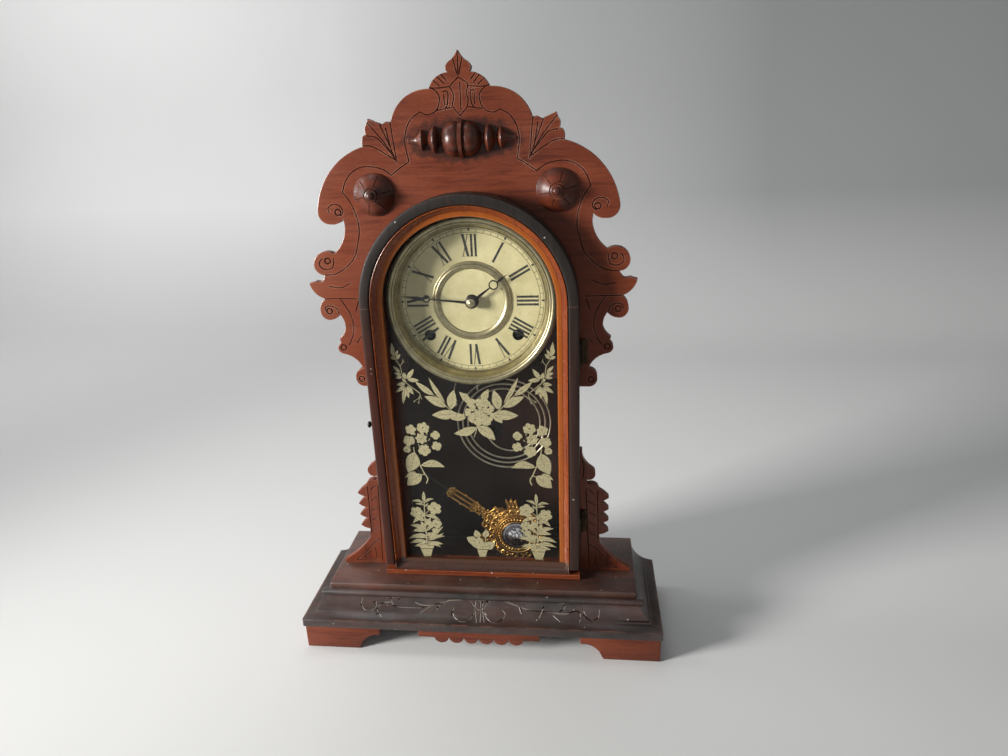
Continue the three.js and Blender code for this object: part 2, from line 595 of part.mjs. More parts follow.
// [radius, y] round a closed section, from the dial's face forward on the inside and back outside
const BEZEL_ROWS = [
  [BEZEL_RADIUS, DIAL_Y], [BEZEL_SIGHT, DIAL_Y], [BEZEL_SIGHT, 8.6], [69.6, 4.4], [70.8, 2.2], [71.8, 1.4],
  [73.8, -0.4], [76.2, BEZEL_FRONT_Y], [78.6, -0.2], [BEZEL_RADIUS, 2], [BEZEL_RADIUS, DIAL_Y],
];
const RING_ROWS = [
  [RING_OUTER, DIAL_Y], [RING_INNER, DIAL_Y], [RING_INNER + 1.8, DIAL_Y - 1.4],
  [RING_OUTER - 3.6, DIAL_Y - RING_PROUD], [RING_OUTER - 2.4, DIAL_Y - 1.1], [RING_OUTER - 0.6, DIAL_Y - 0.9],
  [RING_OUTER, DIAL_Y],
];

// A hand along +Z with an open circle: [distance to the circle, its radius, length, half width at the boss].
function hand(reach, loop, length, half) {
  const outline = trace([[-half, 3], [-0.7, reach - loop + 0.4], [0, reach - loop - 0.6], [0.7, reach - loop + 0.4],
    [half, 3], [half, -3], [-half, -3]].map(([x, z]) => [x, z])).filter((_, i) => i !== 2);
  const tip = trace([[-0.8, reach + loop - 0.4], [-1.5, reach + loop + 5], [0, length], [1.5, reach + loop + 5],
    [0.8, reach + loop - 0.4]]);
  const blade = board(outline, 0, HAND);
  const circleRing = ring(loop, loop - 1.3, 0, HAND, 20).translate(0, 0, reach);
  return join(blade, circleRing, board(tip, 0, HAND));
}

function minuteHand() {
  const boss = join(rod(5.4, MINUTE_Y - 0.4, MINUTE_Y + HAND + 0.6, 20), rod(2.6, MINUTE_Y - 1.8, MINUTE_Y, 12));
  const blade = hand(45.5, 3.6, MINUTE_LENGTH, 1.1).translate(0, MINUTE_Y, 0);
  return join(boss, blade);
}

function hourHand() {
  const blade = hand(25, 4.6, HOUR_LENGTH, 1.5).translate(0, HOUR_Y, 0);
  return cut(join(rod(6.2, HOUR_Y, HOUR_Y + HAND, 20), blade), rod(HOUR_PIPE + GAP, HOUR_Y - 1, HOUR_Y + 2, 16));
}

function makeDial() {
  const centre = group(clock, 0, 0, DIAL_Z);
  add(centre, 'dial_pan', dialPan(), DIAL_CREAM);
  add(centre, 'dial_bezel', turned(BEZEL_ROWS, 40), BRASS);
  add(centre, 'dial_centre_ring', turned(RING_ROWS, 32), BRASS);
  const minute = group(centre, 0, 0, 0);
  minute.rotation.y = 2 * Math.PI * (TIME_HOURS % 1);
  add(minute, 'minute_hand', minuteHand(), BLUED);
  const hour = group(centre, 0, 0, 0);
  hour.rotation.y = 2 * Math.PI * TIME_HOURS / 12;
  add(hour, 'hour_hand', hourHand(), BLUED);
}

// ---------- movement ----------
function plate(front, holes) {
  const outline = trace([[-PLATE_HALF, PLATE_LOW_Z], [-PLATE_HALF, PLATE_HIGH_Z], [PLATE_HALF, PLATE_HIGH_Z],
    [PLATE_HALF, PLATE_LOW_Z]]);
  return board(outline, front, front + PLATE, holes);
}

function frontPlate() {
  const holes = [circle(-WINDING_X, WINDING_Z, 4, 16), circle(WINDING_X, WINDING_Z, 4, 16),
    circle(0, DIAL_Z, CENTRE_PIPE + GAP, 12)];
  const stud = (radius, z, front) => rod(radius, front, FRONT_PLATE_Y + PLATE / 2, 12).translate(0, 0, z);
  // studs: for the verge, for the suspension spring, and for the minute wheel
  const minuteStud = rod(1, 14.6, FRONT_PLATE_Y + 1, 12).translate(MINUTE_WHEEL_X, 0, MINUTE_WHEEL_Z);
  return join(plate(FRONT_PLATE_Y, holes), stud(1, VERGE_Z, 14.6), stud(1.6, LEADER_Z, LEADER_Y + LEADER + GAP),
    minuteStud);
}

function backPlate() {
  const parts = [plate(BACK_PLATE_Y, [])];
  for (const x of [PILLAR_INSET - PLATE_HALF, PLATE_HALF - PILLAR_INSET]) {
    for (const z of [PLATE_LOW_Z + PILLAR_INSET, PLATE_HIGH_Z - PILLAR_INSET]) {
      parts.push(rod(PILLAR_RADIUS, FRONT_PLATE_Y + PLATE, BACK_PLATE_Y + 1, 12).translate(x, 0, z));
      parts.push(rod(PILLAR_RADIUS, BACK_PLATE_Y + 1, BACK_BOARD_Y, 12).translate(x, 0, z));
    }
  }
  return join(...parts);
}

// A wheel's outline with pointed-top teeth; the root circle carries them.
function toothed(teeth, tip, root, phase = 0) {
  const points = [];
  for (let tooth = 0; tooth < teeth; tooth += 1) {
    for (const [share, radius] of [[-0.3, root], [-0.12, tip], [0.12, tip], [0.3, root]]) {
      const angle = phase + 2 * Math.PI * (tooth + share) / teeth;
      points.push(new THREE.Vector2(radius * Math.cos(angle), radius * Math.sin(angle)));
    }
  }
  return points;
}

// Motion work: a pinion on the centre arbor drives the minute wheel, whose own pinion drives the hour wheel.
const MOTION_MODULE = 0.7;
const CANNON_TEETH = 12;
const MINUTE_TEETH = 36;
const MINUTE_PINION = 10;
const HOUR_TEETH = 40;
const MOTION_CENTRES = MOTION_MODULE * (CANNON_TEETH + MINUTE_TEETH) / 2;
const HOUR_MODULE = 2 * MOTION_CENTRES / (MINUTE_PINION + HOUR_TEETH);
const MOTION_ANGLE = -2.4;       // where the minute wheel sits, seen from the centre
const MINUTE_WHEEL_X = MOTION_CENTRES * Math.cos(MOTION_ANGLE);
const MINUTE_WHEEL_Z = DIAL_Z + MOTION_CENTRES * Math.sin(MOTION_ANGLE);
const gear = (teeth, module, phase) => (
  toothed(teeth, teeth * module / 2 + module * 0.75, teeth * module / 2 - module * 1.05, phase));

function centreArbor() {
  // pinion teeth point at the minute wheel; pinion behind the hour wheel
  const pinion = board(gear(CANNON_TEETH, MOTION_MODULE, MOTION_ANGLE), 17.4, 18.6);
  return join(rod(CENTRE_PIPE, MINUTE_Y + 1.6 + GAP, BACK_PLATE_Y - GAP, 16), pinion,
    rod(16, 30, 31.4, 32));
}

function minuteWheel() {
  const facing = MOTION_ANGLE + Math.PI;
  const wheel = board(gear(MINUTE_TEETH, MOTION_MODULE, facing + Math.PI / MINUTE_TEETH), 17.4, 18.6);
  const pinion = board(gear(MINUTE_PINION, HOUR_MODULE, facing), 15, 17.5);
  return cut(join(wheel, pinion), rod(1 + GAP, 14, 20, 12));
}

function hourWheel() {
  const wheel = board(gear(HOUR_TEETH, HOUR_MODULE, MOTION_ANGLE + Math.PI / HOUR_TEETH), 15.4, 16.6);
  const pipe = rod(HOUR_PIPE, HOUR_Y - 0.6, 15.5, 16);
  return cut(join(wheel, pipe), rod(CENTRE_PIPE + GAP, HOUR_Y - 2, 18, 16));
}

function windingArbor() {
  const square = block(-1.9, 1.9, 10, FRONT_PLATE_Y - 1, -1.9, 1.9);
  const ratchet = board(toothed(14, 9, 7.4), 22, 23.6);
  return join(square, rod(2.8, FRONT_PLATE_Y - 2, 41.8, 14), ratchet);
}

const greatWheel = () => cut(board(toothed(40, GREAT_RADIUS, GREAT_RADIUS - 1.8), 24, 26), rod(3.1, 20, 30, 16));

// An open mainspring: a ribbon wound outwards, its inner end at the arbor.
function mainspring() {
  const turns = 4;
  const steps = 14 * turns;
  const start = 2.8 + GAP;         // hooked on the arbor
  const thick = 0.7;
  const spiral = (offset) => Array.from({ length: steps + 1 }, (_, i) => {
    const angle = 2 * Math.PI * turns * i / steps;
    const radius = start + (SPRING_RADIUS - start) * i / steps + offset;
    return new THREE.Vector2(radius * Math.cos(angle), radius * Math.sin(angle));
  });
  return board([...spiral(0), ...spiral(thick).reverse()], 26 + GAP, 39);
}

function leader() {
  const half = (width) => width / 2;
  const hole = 8.3;              // the eye round the hour pipe, wide enough for the swing
  const eye = ring(hole + 1.2, hole, LEADER_Y, LEADER_Y + LEADER, 24).translate(0, 0, DIAL_Z);
  const bar = (low, high) => block(-half(LEADER), half(LEADER), LEADER_Y, LEADER_Y + LEADER, low, high);
  const spring = block(-2.2, 2.2, LEADER_Y + 0.4, LEADER_Y + 0.8, LEADER_Z - 14, LEADER_Z + 2);
  const hook = rod(0.6, LEADER_Y, LEADER_Y + 4.4, 8).translate(0, 0, HOOK_Z);
  return join(spring, bar(DIAL_Z + hole + 0.6, LEADER_Z - 12), eye, bar(HOOK_Z - 1, DIAL_Z - hole - 0.6), hook);
}

function verge() {
  const strip = trace([[-9, -8.6], [-7.4, -3.4, 0.1], [0, 1.8, 0.2], [7.4, -3.4, 0.2], [9, -8.6, 0.1], [8, -8.6],
    [6.4, -4.2, -0.1], [0, -2.4, -0.1], [-6.4, -4.2, -0.1], [-8, -8.6, -0.1]]);
  const body = join(board(strip, 17, 18.4), rod(2.4, 15.4, 18.4, 14));
  const drop = LEADER_Z - VERGE_Z - 35;      // the crutch's fork holds the leader here
  const crutch = block(-0.5, 0.5, 15.4, 16.2, drop, -2);
  const fork = join(block(-2.4, 2.4, 15.4, 16.2, drop - 0.6, drop + 0.6),
    block(-2.4, -LEADER / 2 - GAP, LEADER_Y - 0.4, 15.5, drop - 0.6, drop + 0.6),
    block(LEADER / 2 + GAP, 2.4, LEADER_Y - 0.4, 15.5, drop - 0.6, drop + 0.6));
  return cut(join(body, crutch, fork), rod(1 + GAP, 14, 20, 12));
}

function strikeHammer() {
  const head = hammerHead();
  const arm = straightTube([[0, 41, 0], [-1, 41, -8], [-4, 41, -17], [-9, 44.5, -30], [-15, GONG_Y, -44],
    [head.x, GONG_Y, head.z]], 0.8, 6, 24);
  const arbor = rod(1.2, FRONT_PLATE_Y + PLATE + GAP, 41.9, 10);
  const hub = rod(HAMMER_HEAD, -4, 4, 14).rotateZ(-Math.PI / 2).rotateY(-head.aim)
    .translate(head.x, GONG_Y, head.z);
  return join(arm, arbor, hub);
}

// The hammer's head, as seen from its arbor: it points at the coil's centre, just clear of the outer turn.
function hammerHead() {
  const aim = 2.75;
  const reach = GONG_INNER + GONG_PITCH * GONG_TURNS + GONG_WIRE + 5;
  return { x: GONG_X + reach * Math.cos(aim) - HAMMER_X, z: GONG_Z + reach * Math.sin(aim) - HAMMER_Z, aim };
}

function makeMovement() {
  add(clock, 'movement_front_plate', frontPlate(), BRASS);
  add(clock, 'movement_back_plate', backPlate(), BRASS);
  for (const [word, side] of [['strike', -1], ['time', 1]]) {
    const train = group(clock, side * WINDING_X, 0, WINDING_Z);
    add(train, `winding_arbor_${word}`, windingArbor(), STEEL);
    add(train, `great_wheel_${word}`, greatWheel(), BRASS);
    add(train, `mainspring_${word}`, mainspring(), STEEL);
  }
  const centre = group(clock, 0, 0, DIAL_Z);
  add(centre, 'centre_arbor', centreArbor(), STEEL);
  add(centre, 'hour_wheel', hourWheel(), BRASS);
  add(group(clock, MINUTE_WHEEL_X, 0, MINUTE_WHEEL_Z), 'minute_wheel', minuteWheel(), BRASS);
  const escape = group(clock, 0, 0, ESCAPE_Z);
  add(escape, 'escape_wheel', join(board(toothed(24, 8.8, 7.2), 17.2, 18.4), rod(1, 16.8, 18.7, 10)), BRASS);
  add(group(clock, 0, 0, VERGE_Z), 'verge', verge(), STEEL);
  add(clock, 'pendulum_leader', leader(), STEEL);
  add(group(clock, HAMMER_X, 0, HAMMER_Z), 'strike_hammer', strikeHammer(), STEEL);
}

// ---------- gong ----------
class GongRoute extends THREE.Curve {
  getPoint(t, target = new THREE.Vector3()) {
    const angle = 2 * Math.PI * GONG_TURNS * t;
    const leadIn = Math.max(0, 1 - angle / (0.75 * Math.PI));
    const radius = GONG_INNER + GONG_PITCH * angle / (2 * Math.PI) - (GONG_INNER - GONG_POST - 5) * leadIn ** 2;
    const turn = GONG_START + angle;
    return target.set(radius * Math.cos(turn), 0, radius * Math.sin(turn));
  }
}

// Least gap of the coil to itself, between points at least half a turn apart.
function coilGap(curve) {
  const count = 48 * Math.ceil(GONG_TURNS);
  const points = curve.getSpacedPoints(count);
  const apart = Math.round(count / GONG_TURNS / 2);
  let least = Infinity;
  for (let i = 0; i < points.length; i += 1) {
    for (let j = i + apart; j < points.length; j += 1) least = Math.min(least, points[i].distanceTo(points[j]));
  }
  return least - 2 * GONG_WIRE;
}

function makeGong() {
  const centre = group(clock, GONG_X, GONG_Y, GONG_Z);
  const route = new GongRoute();
  console.log(`gong coil: least gap to itself ${coilGap(route).toFixed(2)} mm`);
  add(centre, 'gong_coil', tube(route, GONG_WIRE, 6, Math.round(24 * GONG_TURNS)), STEEL);
  const x = GONG_X + GONG_POST * Math.cos(GONG_START);
  const z = GONG_Z + GONG_POST * Math.sin(GONG_START);
  const foot = block(x - 9, x + 9, BACK_BOARD_Y - 3, BACK_BOARD_Y, z - 9, z + 9);
  const post = rod(4.3, GONG_Y - 3.4, BACK_BOARD_Y - 2, 14).translate(x, 0, z);
  add(clock, 'gong_block', join(foot, post), IRON);
}

// ---------- pendulum ----------
function pendulumRod() {
  const half = GRID_WIDTH / 2;
  const slot = (x) => trace([[x - 1.3, GRID_START + 6], [x - 1.3, GRID_END - 6], [x + 1.3, GRID_END - 6, 1],
    [x + 1.3, GRID_START + 6], [x - 1.3, GRID_START + 6, 1]]).slice(0, -1);
  const back = PENDULUM_Y + 1.6;
  const outline = trace([[-half, GRID_START + 2], [-half, GRID_END - 2], [-2, GRID_END, 0.2], [2, GRID_END],
    [half, GRID_END - 2, 0.2], [half, GRID_START + 2], [4, GRID_START - 3, 0.2], [6, BOB_RADIUS + 8, -0.2],
    [4, BOB_RADIUS + GAP + 1], [-4, BOB_RADIUS + GAP + 1], [-6, BOB_RADIUS + 8], [-4, GRID_START - 3, -0.2]]);
  const stem = board(outline, PENDULUM_Y, back, [slot(-2.7), slot(2.7)]);
  const middle = PENDULUM_Y + 0.8;
  const wire = block(-0.6, 0.6, middle - 0.6, middle + 0.6, GRID_END - 1, PENDULUM_LENGTH - 2);
  // the hook at the top is a ring left open on the side where the leader's pin comes in
  const mouth = trace([[0, 0], [2, -5.5], [6, 0], [3.4, 4.9]]);
  const hook = cut(ring(3, 1.7, middle - 0.6, middle + 0.6, 16), board(mouth, middle - 2, middle + 2))
    .translate(0, 0, PENDULUM_LENGTH);
  const tongue = block(-3, 3, PENDULUM_Y, back, BOB_RADIUS - 4, BOB_RADIUS + 3);
  return join(stem, wire, hook, tongue);
}

function pendulumBob() {
  const half = BOB_THICK / 2;
  const lens = turned([[0, -half + 1], [JEWEL_RADIUS + 4, -half + 1], [BOB_RADIUS - 5, -half + 1.6],
    [BOB_RADIUS, -1], [BOB_RADIUS, 1], [BOB_RADIUS - 6, half - 1], [0, half]], 40).translate(0, BOB_Y, 0);
  const seat = rod(JEWEL_RADIUS + 3, BOB_Y - half - 0.4, BOB_Y, 32);
  const socket = rod(JEWEL_RADIUS + GAP, BOB_Y - half - 2, BOB_Y - half + 1.4, 32);
  // three-pointed ears, and the shield that rises in front of the stem
  const ear = (side) => board(sided(trace([[17, 22], [18.7, 24.6], [25.8, 31.6], [27.2, 30.4], [26.3, 27.2], [29.6, 28],
    [30.6, 26.2], [28.9, 23.6], [32.2, 23.4], [32.8, 21.8], [28.8, 17.6], [25.4, 12.6]]), side), BOB_Y - 1, BOB_Y + 1);
  const flank = trace([[0, 43], [3.4, 43], [3.4, 40.6], [6, 37.9], [14, 36.2], [14.4, 34.6], [14.6, 32.4],
    [17.5, 29, 0.2], [16, 20], [0, 20]]);
  const shield = board([...flank, ...flipped(flank).slice(1, -1)], BOB_Y - 1.9, BOB_Y - 1.1);
  const slot = block(-3 - GAP, 3 + GAP, PENDULUM_Y - GAP, PENDULUM_Y + 1.6 + GAP, BOB_RADIUS - 4 - GAP, BOB_RADIUS + 9);
  return cut(join(lens, seat, shield, ear(-1), ear(1)), socket, slot);
}

function bobJewel() {
  const front = BOB_Y - BOB_THICK / 2;
  return turned([[0, front - 2.4], [5, front - 2], [10, front - 0.6], [JEWEL_RADIUS, front + 0.4],
    [JEWEL_RADIUS, front + 1.2], [0, front + 1.2]].map(([radius, y]) => [radius, y]), 28);
}

function makePendulum() {
  const lean = group(clock, BOB_X, 0, BOB_Z);
  lean.rotation.y = -PENDULUM_LEAN;
  add(lean, 'pendulum_rod', pendulumRod(), GILT);
  add(lean, 'pendulum_bob', pendulumBob(), GILT);
  add(lean, 'bob_jewel', bobJewel(), JEWEL);
}

makeBase();
makeFront();
makeCase();
makeDoor();
makeDial();
makeMovement();
makeGong();
makePendulum();

export default clock;
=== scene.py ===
"""Looks for the carved parlour shelf clock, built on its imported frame.

Pieces are modelled in millimetres and stored in metres. +X is to the viewer's right, +Y into the clock and
+Z up; Y = 0 is the face of the carved front.
"""

import math
import random

import bmesh
import bpy
from mathutils import Matrix, Vector
from mathutils.geometry import interpolate_bezier


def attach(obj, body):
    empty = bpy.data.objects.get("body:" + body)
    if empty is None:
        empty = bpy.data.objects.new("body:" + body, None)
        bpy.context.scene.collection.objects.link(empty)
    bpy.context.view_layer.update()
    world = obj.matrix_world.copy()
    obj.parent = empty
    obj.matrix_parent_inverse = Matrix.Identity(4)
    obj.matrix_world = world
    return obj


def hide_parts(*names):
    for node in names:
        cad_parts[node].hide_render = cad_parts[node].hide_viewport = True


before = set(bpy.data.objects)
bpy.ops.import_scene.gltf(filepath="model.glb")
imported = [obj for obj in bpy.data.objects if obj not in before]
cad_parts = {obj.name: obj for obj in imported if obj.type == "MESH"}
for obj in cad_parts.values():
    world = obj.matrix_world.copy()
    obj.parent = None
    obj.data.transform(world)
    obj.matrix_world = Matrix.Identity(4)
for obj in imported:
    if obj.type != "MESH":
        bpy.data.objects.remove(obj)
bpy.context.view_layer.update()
chance = random.Random(7)

MM = 0.001
SIDES = {"left": -1, "right": 1}
TAU = 2 * math.pi

# ---------- sizes, in millimetres ----------
BASE_HALF = 180.0
BASE_DEEP = 62.25        # half the base's depth
FOOT_TOP = 25.4
PLINTH_TOP = 34.2
COVE_TOP = 50.8
BEAD_TOP = 57.0
FLOOR = 62.0             # top of the base, where the case stands
COVE_INSET = 23.0
TOP_INSET = 24.2
BEAD_PROUD = 6.8

FRONT_BOARD = 8.0
OPENING_HALF = 82.5
CASE_HALF = 98.0
SPRING = 346.0           # height at which the arches begin
CREST_FOOT = 264.0

DOOR_HALF = 100.0
DOOR_LOW = 62.3
MOULDING_HALF = 90.0
MOULDING_LOW = 68.2
GLASS_FRONT = -10.5
GLASS_BACK = -8.5

DIAL_Z = 345.0
DIAL_Y = 11.0
HANDS_AT = 1 + 46 / 60   # hours

PAN_RADIUS = 79.0
WINDING_HOLES = [(-42.3, 312, 5.5), (42.3, 312, 5.5)]   # x, z and radius
HAND_THICK = 0.8

SPINDLE_Z = 489.2
ROSETTE_X = 81.0
ROSETTE_Z = 445.0

GONG = Vector((22.3, 46.0, 206.5))
GONG_STAND = (7.4, 195.6)   # x and z
BOB = Vector((33.9, 16.0, 92.8))
JEWEL_RADIUS = 15.3
STEM_FRONT = 15.2
STEM_BACK = 16.8
STEM_HALF = 6.25
PENDULUM_LEAN = math.radians(54.5)


# ---------- mesh helpers ----------
TO_FRONT = Vector((0, -1, 0))
TO_BACK = Vector((0, 1, 0))
UP = Vector((0, 0, 1))


def at(x, z):
    return Vector((x, 0, z))


def on_circle(radius, angle, x=0.0, z=0.0):
    return Vector((x + radius * math.cos(angle), 0, z + radius * math.sin(angle)))


def arc(start, end, bow):
    """Points of the arc between two ends, which it leaves out. The bow is the arc's height over half its
    chord, positive to the left of the way."""
    turn = 4 * math.atan(bow)
    chord = end - start
    radius = chord.length / 2 / math.sin(turn / 2)
    step = min(math.radians(14), 2 * math.acos(max(0.0, 1 - 0.03 / abs(radius))))
    count = max(2, math.ceil(abs(turn) / step))
    left = at(-chord.z, chord.x).normalized()
    centre = (start + end) / 2 - left * radius * math.cos(turn / 2)
    spoke = start - centre
    return [centre + Matrix.Rotation(turn * i / count, 3, "Y") @ spoke for i in range(1, count)]


def outline(rows):
    """An outline in the XZ plane from [x, z] or [x, z, bow] rows."""
    path = []
    for x, z, *bow in rows:
        end = at(x, z)
        if path and bow:
            path += arc(path[-1], end, bow[0])
        path.append(end)
    return path


def mirrored(path):
    return [Vector((-p.x, p.y, p.z)) for p in reversed(path)]


def flowing(points, per=5):
    """A smooth path through a few points, given as (x, z)."""
    knots = [at(x, z) for x, z in points]
    if len(knots) < 3:
        return knots
    ends = [2 * knots[0] - knots[1], *knots, 2 * knots[-1] - knots[-2]]
    path = []
    for a, b, c, d in zip(ends, ends[1:], ends[2:], ends[3:]):
        path += interpolate_bezier(b, b + (c - a) / 6, c - (d - b) / 6, c, per + 1)[:-1]
    return path + [knots[-1]]


def station(place, across, out, size=1.0):
    """Where a swept section stands: its x runs along across and its y along out."""
    along = across.cross(out)
    turn = Matrix((across, out, along)).transposed().to_4x4()
    return Matrix.Translation(place) @ turn @ Matrix.Scale(size, 4)


def stations(path, outs, sizes=None):
    """Stations along an open path, square to it; outs says which way is up at each place."""
    made = []
    for i, (place, out) in enumerate(zip(path, outs)):
        along = (path[min(i + 1, len(path) - 1)] - path[max(i - 1, 0)]).normalized()
        across = out.cross(along).normalized()
        made.append(station(place, across, along.cross(across), sizes[i] if sizes else 1.0))
    return made


def sweep(bm, section, places, closed=False):
    """Draws a closed section, a list of (x, y), from station to station, with capped ends."""
    verts = [bm.verts.new((x, y, 0)) for x, y in section]
    first = edges = [bm.edges.new(pair) for pair in zip(verts, verts[1:] + verts[:1])]
    bmesh.ops.transform(bm, matrix=places[0], verts=verts)
    for before, after in zip(places, places[1:]):
        made = bmesh.ops.extrude_edge_only(bm, edges=edges)["geom"]
        verts = [g for g in made if isinstance(g, bmesh.types.BMVert)]
        fresh = set(verts)
        edges = [g for g in made if isinstance(g, bmesh.types.BMEdge) and fresh.issuperset(g.verts)]
        bmesh.ops.transform(bm, matrix=after @ before.inverted(), verts=verts)
    if closed:
        bmesh.ops.bridge_loops(bm, edges=first + edges)
    else:
        for end in (first, edges):
            bmesh.ops.contextual_create(bm, geom=end)
    return bm


def ring_section(radius, sides):
    return [(radius * math.cos(TAU * i / sides), radius * math.sin(TAU * i / sides)) for i in range(sides)]


def turned(rows, steps=64, angle=TAU):
    """A turning about +Y at the origin from (radius, y) rows."""
    bm = bmesh.new()
    verts = [bm.verts.new((radius, y, 0)) for radius, y in rows]
    edges = [bm.edges.new(pair) for pair in zip(verts, verts[1:])]
    bmesh.ops.spin(bm, geom=verts + edges, cent=(0, 0, 0), axis=(0, 1, 0), angle=angle, steps=steps,
                   use_merge=angle == TAU)
    bmesh.ops.remove_doubles(bm, verts=bm.verts, dist=1e-4)
    return bm


def slab(path, front, back, rounding=0.7, holes=()):
    """A board cut to an outline, from front to back along Y, with its front edges rounded."""
    bm = bmesh.new()
    for loop in (path, *holes):
        verts = [bm.verts.new((p.x, front, p.z)) for p in loop]
        for pair in zip(verts, verts[1:] + verts[:1]):
            bm.edges.new(pair)
    if holes:
        bmesh.ops.triangle_fill(bm, edges=bm.edges[:], use_beauty=True, normal=(0, -1, 0))
    else:
        bmesh.ops.contextual_create(bm, geom=bm.edges[:])
    made = bmesh.ops.extrude_face_region(bm, geom=bm.faces[:])["geom"]
    far = [g for g in made if isinstance(g, bmesh.types.BMVert)]
    bmesh.ops.translate(bm, vec=(0, back - front, 0), verts=far)
    bmesh.ops.recalc_face_normals(bm, faces=bm.faces)
    if rounding:
        rim = [e for e in bm.edges if e.calc_face_angle(0) > 0.9
               and all(abs(v.co.y - front) < 1e-4 for v in e.verts)]
        bmesh.ops.bevel(bm, geom=rim, offset=rounding, segments=2, profile=0.5, affect="EDGES",
                        material=-1, clamp_overlap=True)
    return bm


def brick(x, y, z, rounding=0.5, segments=2):
    """A block between pairs of X, Y and Z, with rounded edges."""
    bm = bmesh.new()
    bmesh.ops.create_cube(bm, size=1)
    bmesh.ops.scale(bm, vec=(x[1] - x[0], y[1] - y[0], z[1] - z[0]), verts=bm.verts)
    bmesh.ops.translate(bm, vec=((x[0] + x[1]) / 2, (y[0] + y[1]) / 2, (z[0] + z[1]) / 2), verts=bm.verts)
    if rounding:
        bmesh.ops.bevel(bm, geom=bm.edges[:], offset=rounding, segments=segments, profile=0.5,
                        affect="EDGES", material=-1)
    return bm


def everything(bm):
    return bm.verts[:] + bm.edges[:] + bm.faces[:]


def added(bm, other):
    """Puts a second mesh into the first."""
    mesh = bpy.data.meshes.new("part")
    other.to_mesh(mesh)
    other.free()
    bm.from_mesh(mesh)
    bpy.data.meshes.remove(mesh)
    return bm


def moved(bm, matrix):
    bmesh.ops.transform(bm, matrix=matrix, verts=bm.verts)
    return bm


def placed(bm, *place):
    return moved(bm, Matrix.Translation(place))


def linked(name, data):
    made = bpy.data.objects.new(name, data)
    bpy.context.scene.collection.objects.link(made)
    return made


def stored(bm, name, *materials, crease=32):
    """Turns a mesh in millimetres into an object in metres, shaded smooth up to a crease angle."""
    bmesh.ops.scale(bm, vec=(MM, MM, MM), verts=bm.verts)
    mesh = bpy.data.meshes.new(name)
    bm.to_mesh(mesh)
    bm.free()
    mesh.shade_smooth()
    mesh.set_sharp_from_angle(angle=math.radians(crease))
    for material in materials:
        mesh.materials.append(material)
    return linked(name, mesh)


def piece(bm, name, body, material, nodes=(), crease=32, tidy=True):
    """Stores a finished piece, which rides on a body and may stand for CAD nodes."""
    if tidy:
        bmesh.ops.remove_doubles(bm, verts=bm.verts, dist=1e-3)
        bmesh.ops.recalc_face_normals(bm, faces=bm.faces)
    made = stored(bm, name, material, crease=crease)
    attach(made, body)
    if nodes:
        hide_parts(*nodes)
    return made


def carved(board, cutter, crease=32, flat=False):
    """Takes the cutter's shape out of a board, whose cut faces take the cutter's finish. A flat board's face
    is shaded flat."""
    cut = board.modifiers.new("carving", "BOOLEAN")
    cut.operation = "DIFFERENCE"
    cut.solver = "EXACT"
    cut.use_self = True
    cut.material_mode = "TRANSFER"
    cut.object = cutter
    shapes = bpy.context.evaluated_depsgraph_get()
    mesh = bpy.data.meshes.new_from_object(board.evaluated_get(shapes))
    board.modifiers.clear()
    board.data = mesh
    mesh.set_sharp_from_angle(angle=math.radians(crease))
    for face in mesh.polygons:
        if flat and face.normal.y < -0.9999:
            face.use_smooth = False
    bpy.data.objects.remove(cutter)
    return board


def grooves(paths, width=1.9, deep=1.2, out=None):
    """One cutter for V grooves along paths that lie in a carved face; their ends run out. Out gives the way
    out of the wood at a place, and without it that is -Y."""
    bm = bmesh.new()
    section = [(width / 2, 0), (0, deep), (-width / 2, 0), (0, -deep)]
    for path in paths:
        lead = (path[1] - path[0]).normalized() * width * 0.6
        tail = (path[-1] - path[-2]).normalized() * width * 0.6
        path = [path[0] - lead, *path, path[-1] + tail]
        sizes = [0.08, *[1.0] * (len(path) - 2), 0.08]
        outs = [out(p) if out else TO_FRONT for p in path]
        sweep(bm, section, stations(path, outs, sizes))
    bmesh.ops.recalc_face_normals(bm, faces=bm.faces)
    return bm


def dressed(node, body, material, rounding=0.6, crease=32):
    """A CAD node's own shape with its edges rounded."""
    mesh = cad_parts[node].data
    bm = bmesh.new()
    bm.from_mesh(mesh)
    bmesh.ops.remove_doubles(bm, verts=bm.verts, dist=2e-6)
    bmesh.ops.scale(bm, vec=(1 / MM, 1 / MM, 1 / MM), verts=bm.verts)
    bmesh.ops.dissolve_limit(bm, angle_limit=math.radians(1), verts=bm.verts, edges=bm.edges)
    if rounding:
        sharp = [e for e in bm.edges if e.calc_face_angle(0) > math.radians(50)]
        bmesh.ops.bevel(bm, geom=sharp, offset=rounding, segments=2, profile=0.5, affect="EDGES",
                        material=-1, clamp_overlap=True)
    return piece(bm, f"{node}_dressed", body, material, nodes=(node,), crease=crease)


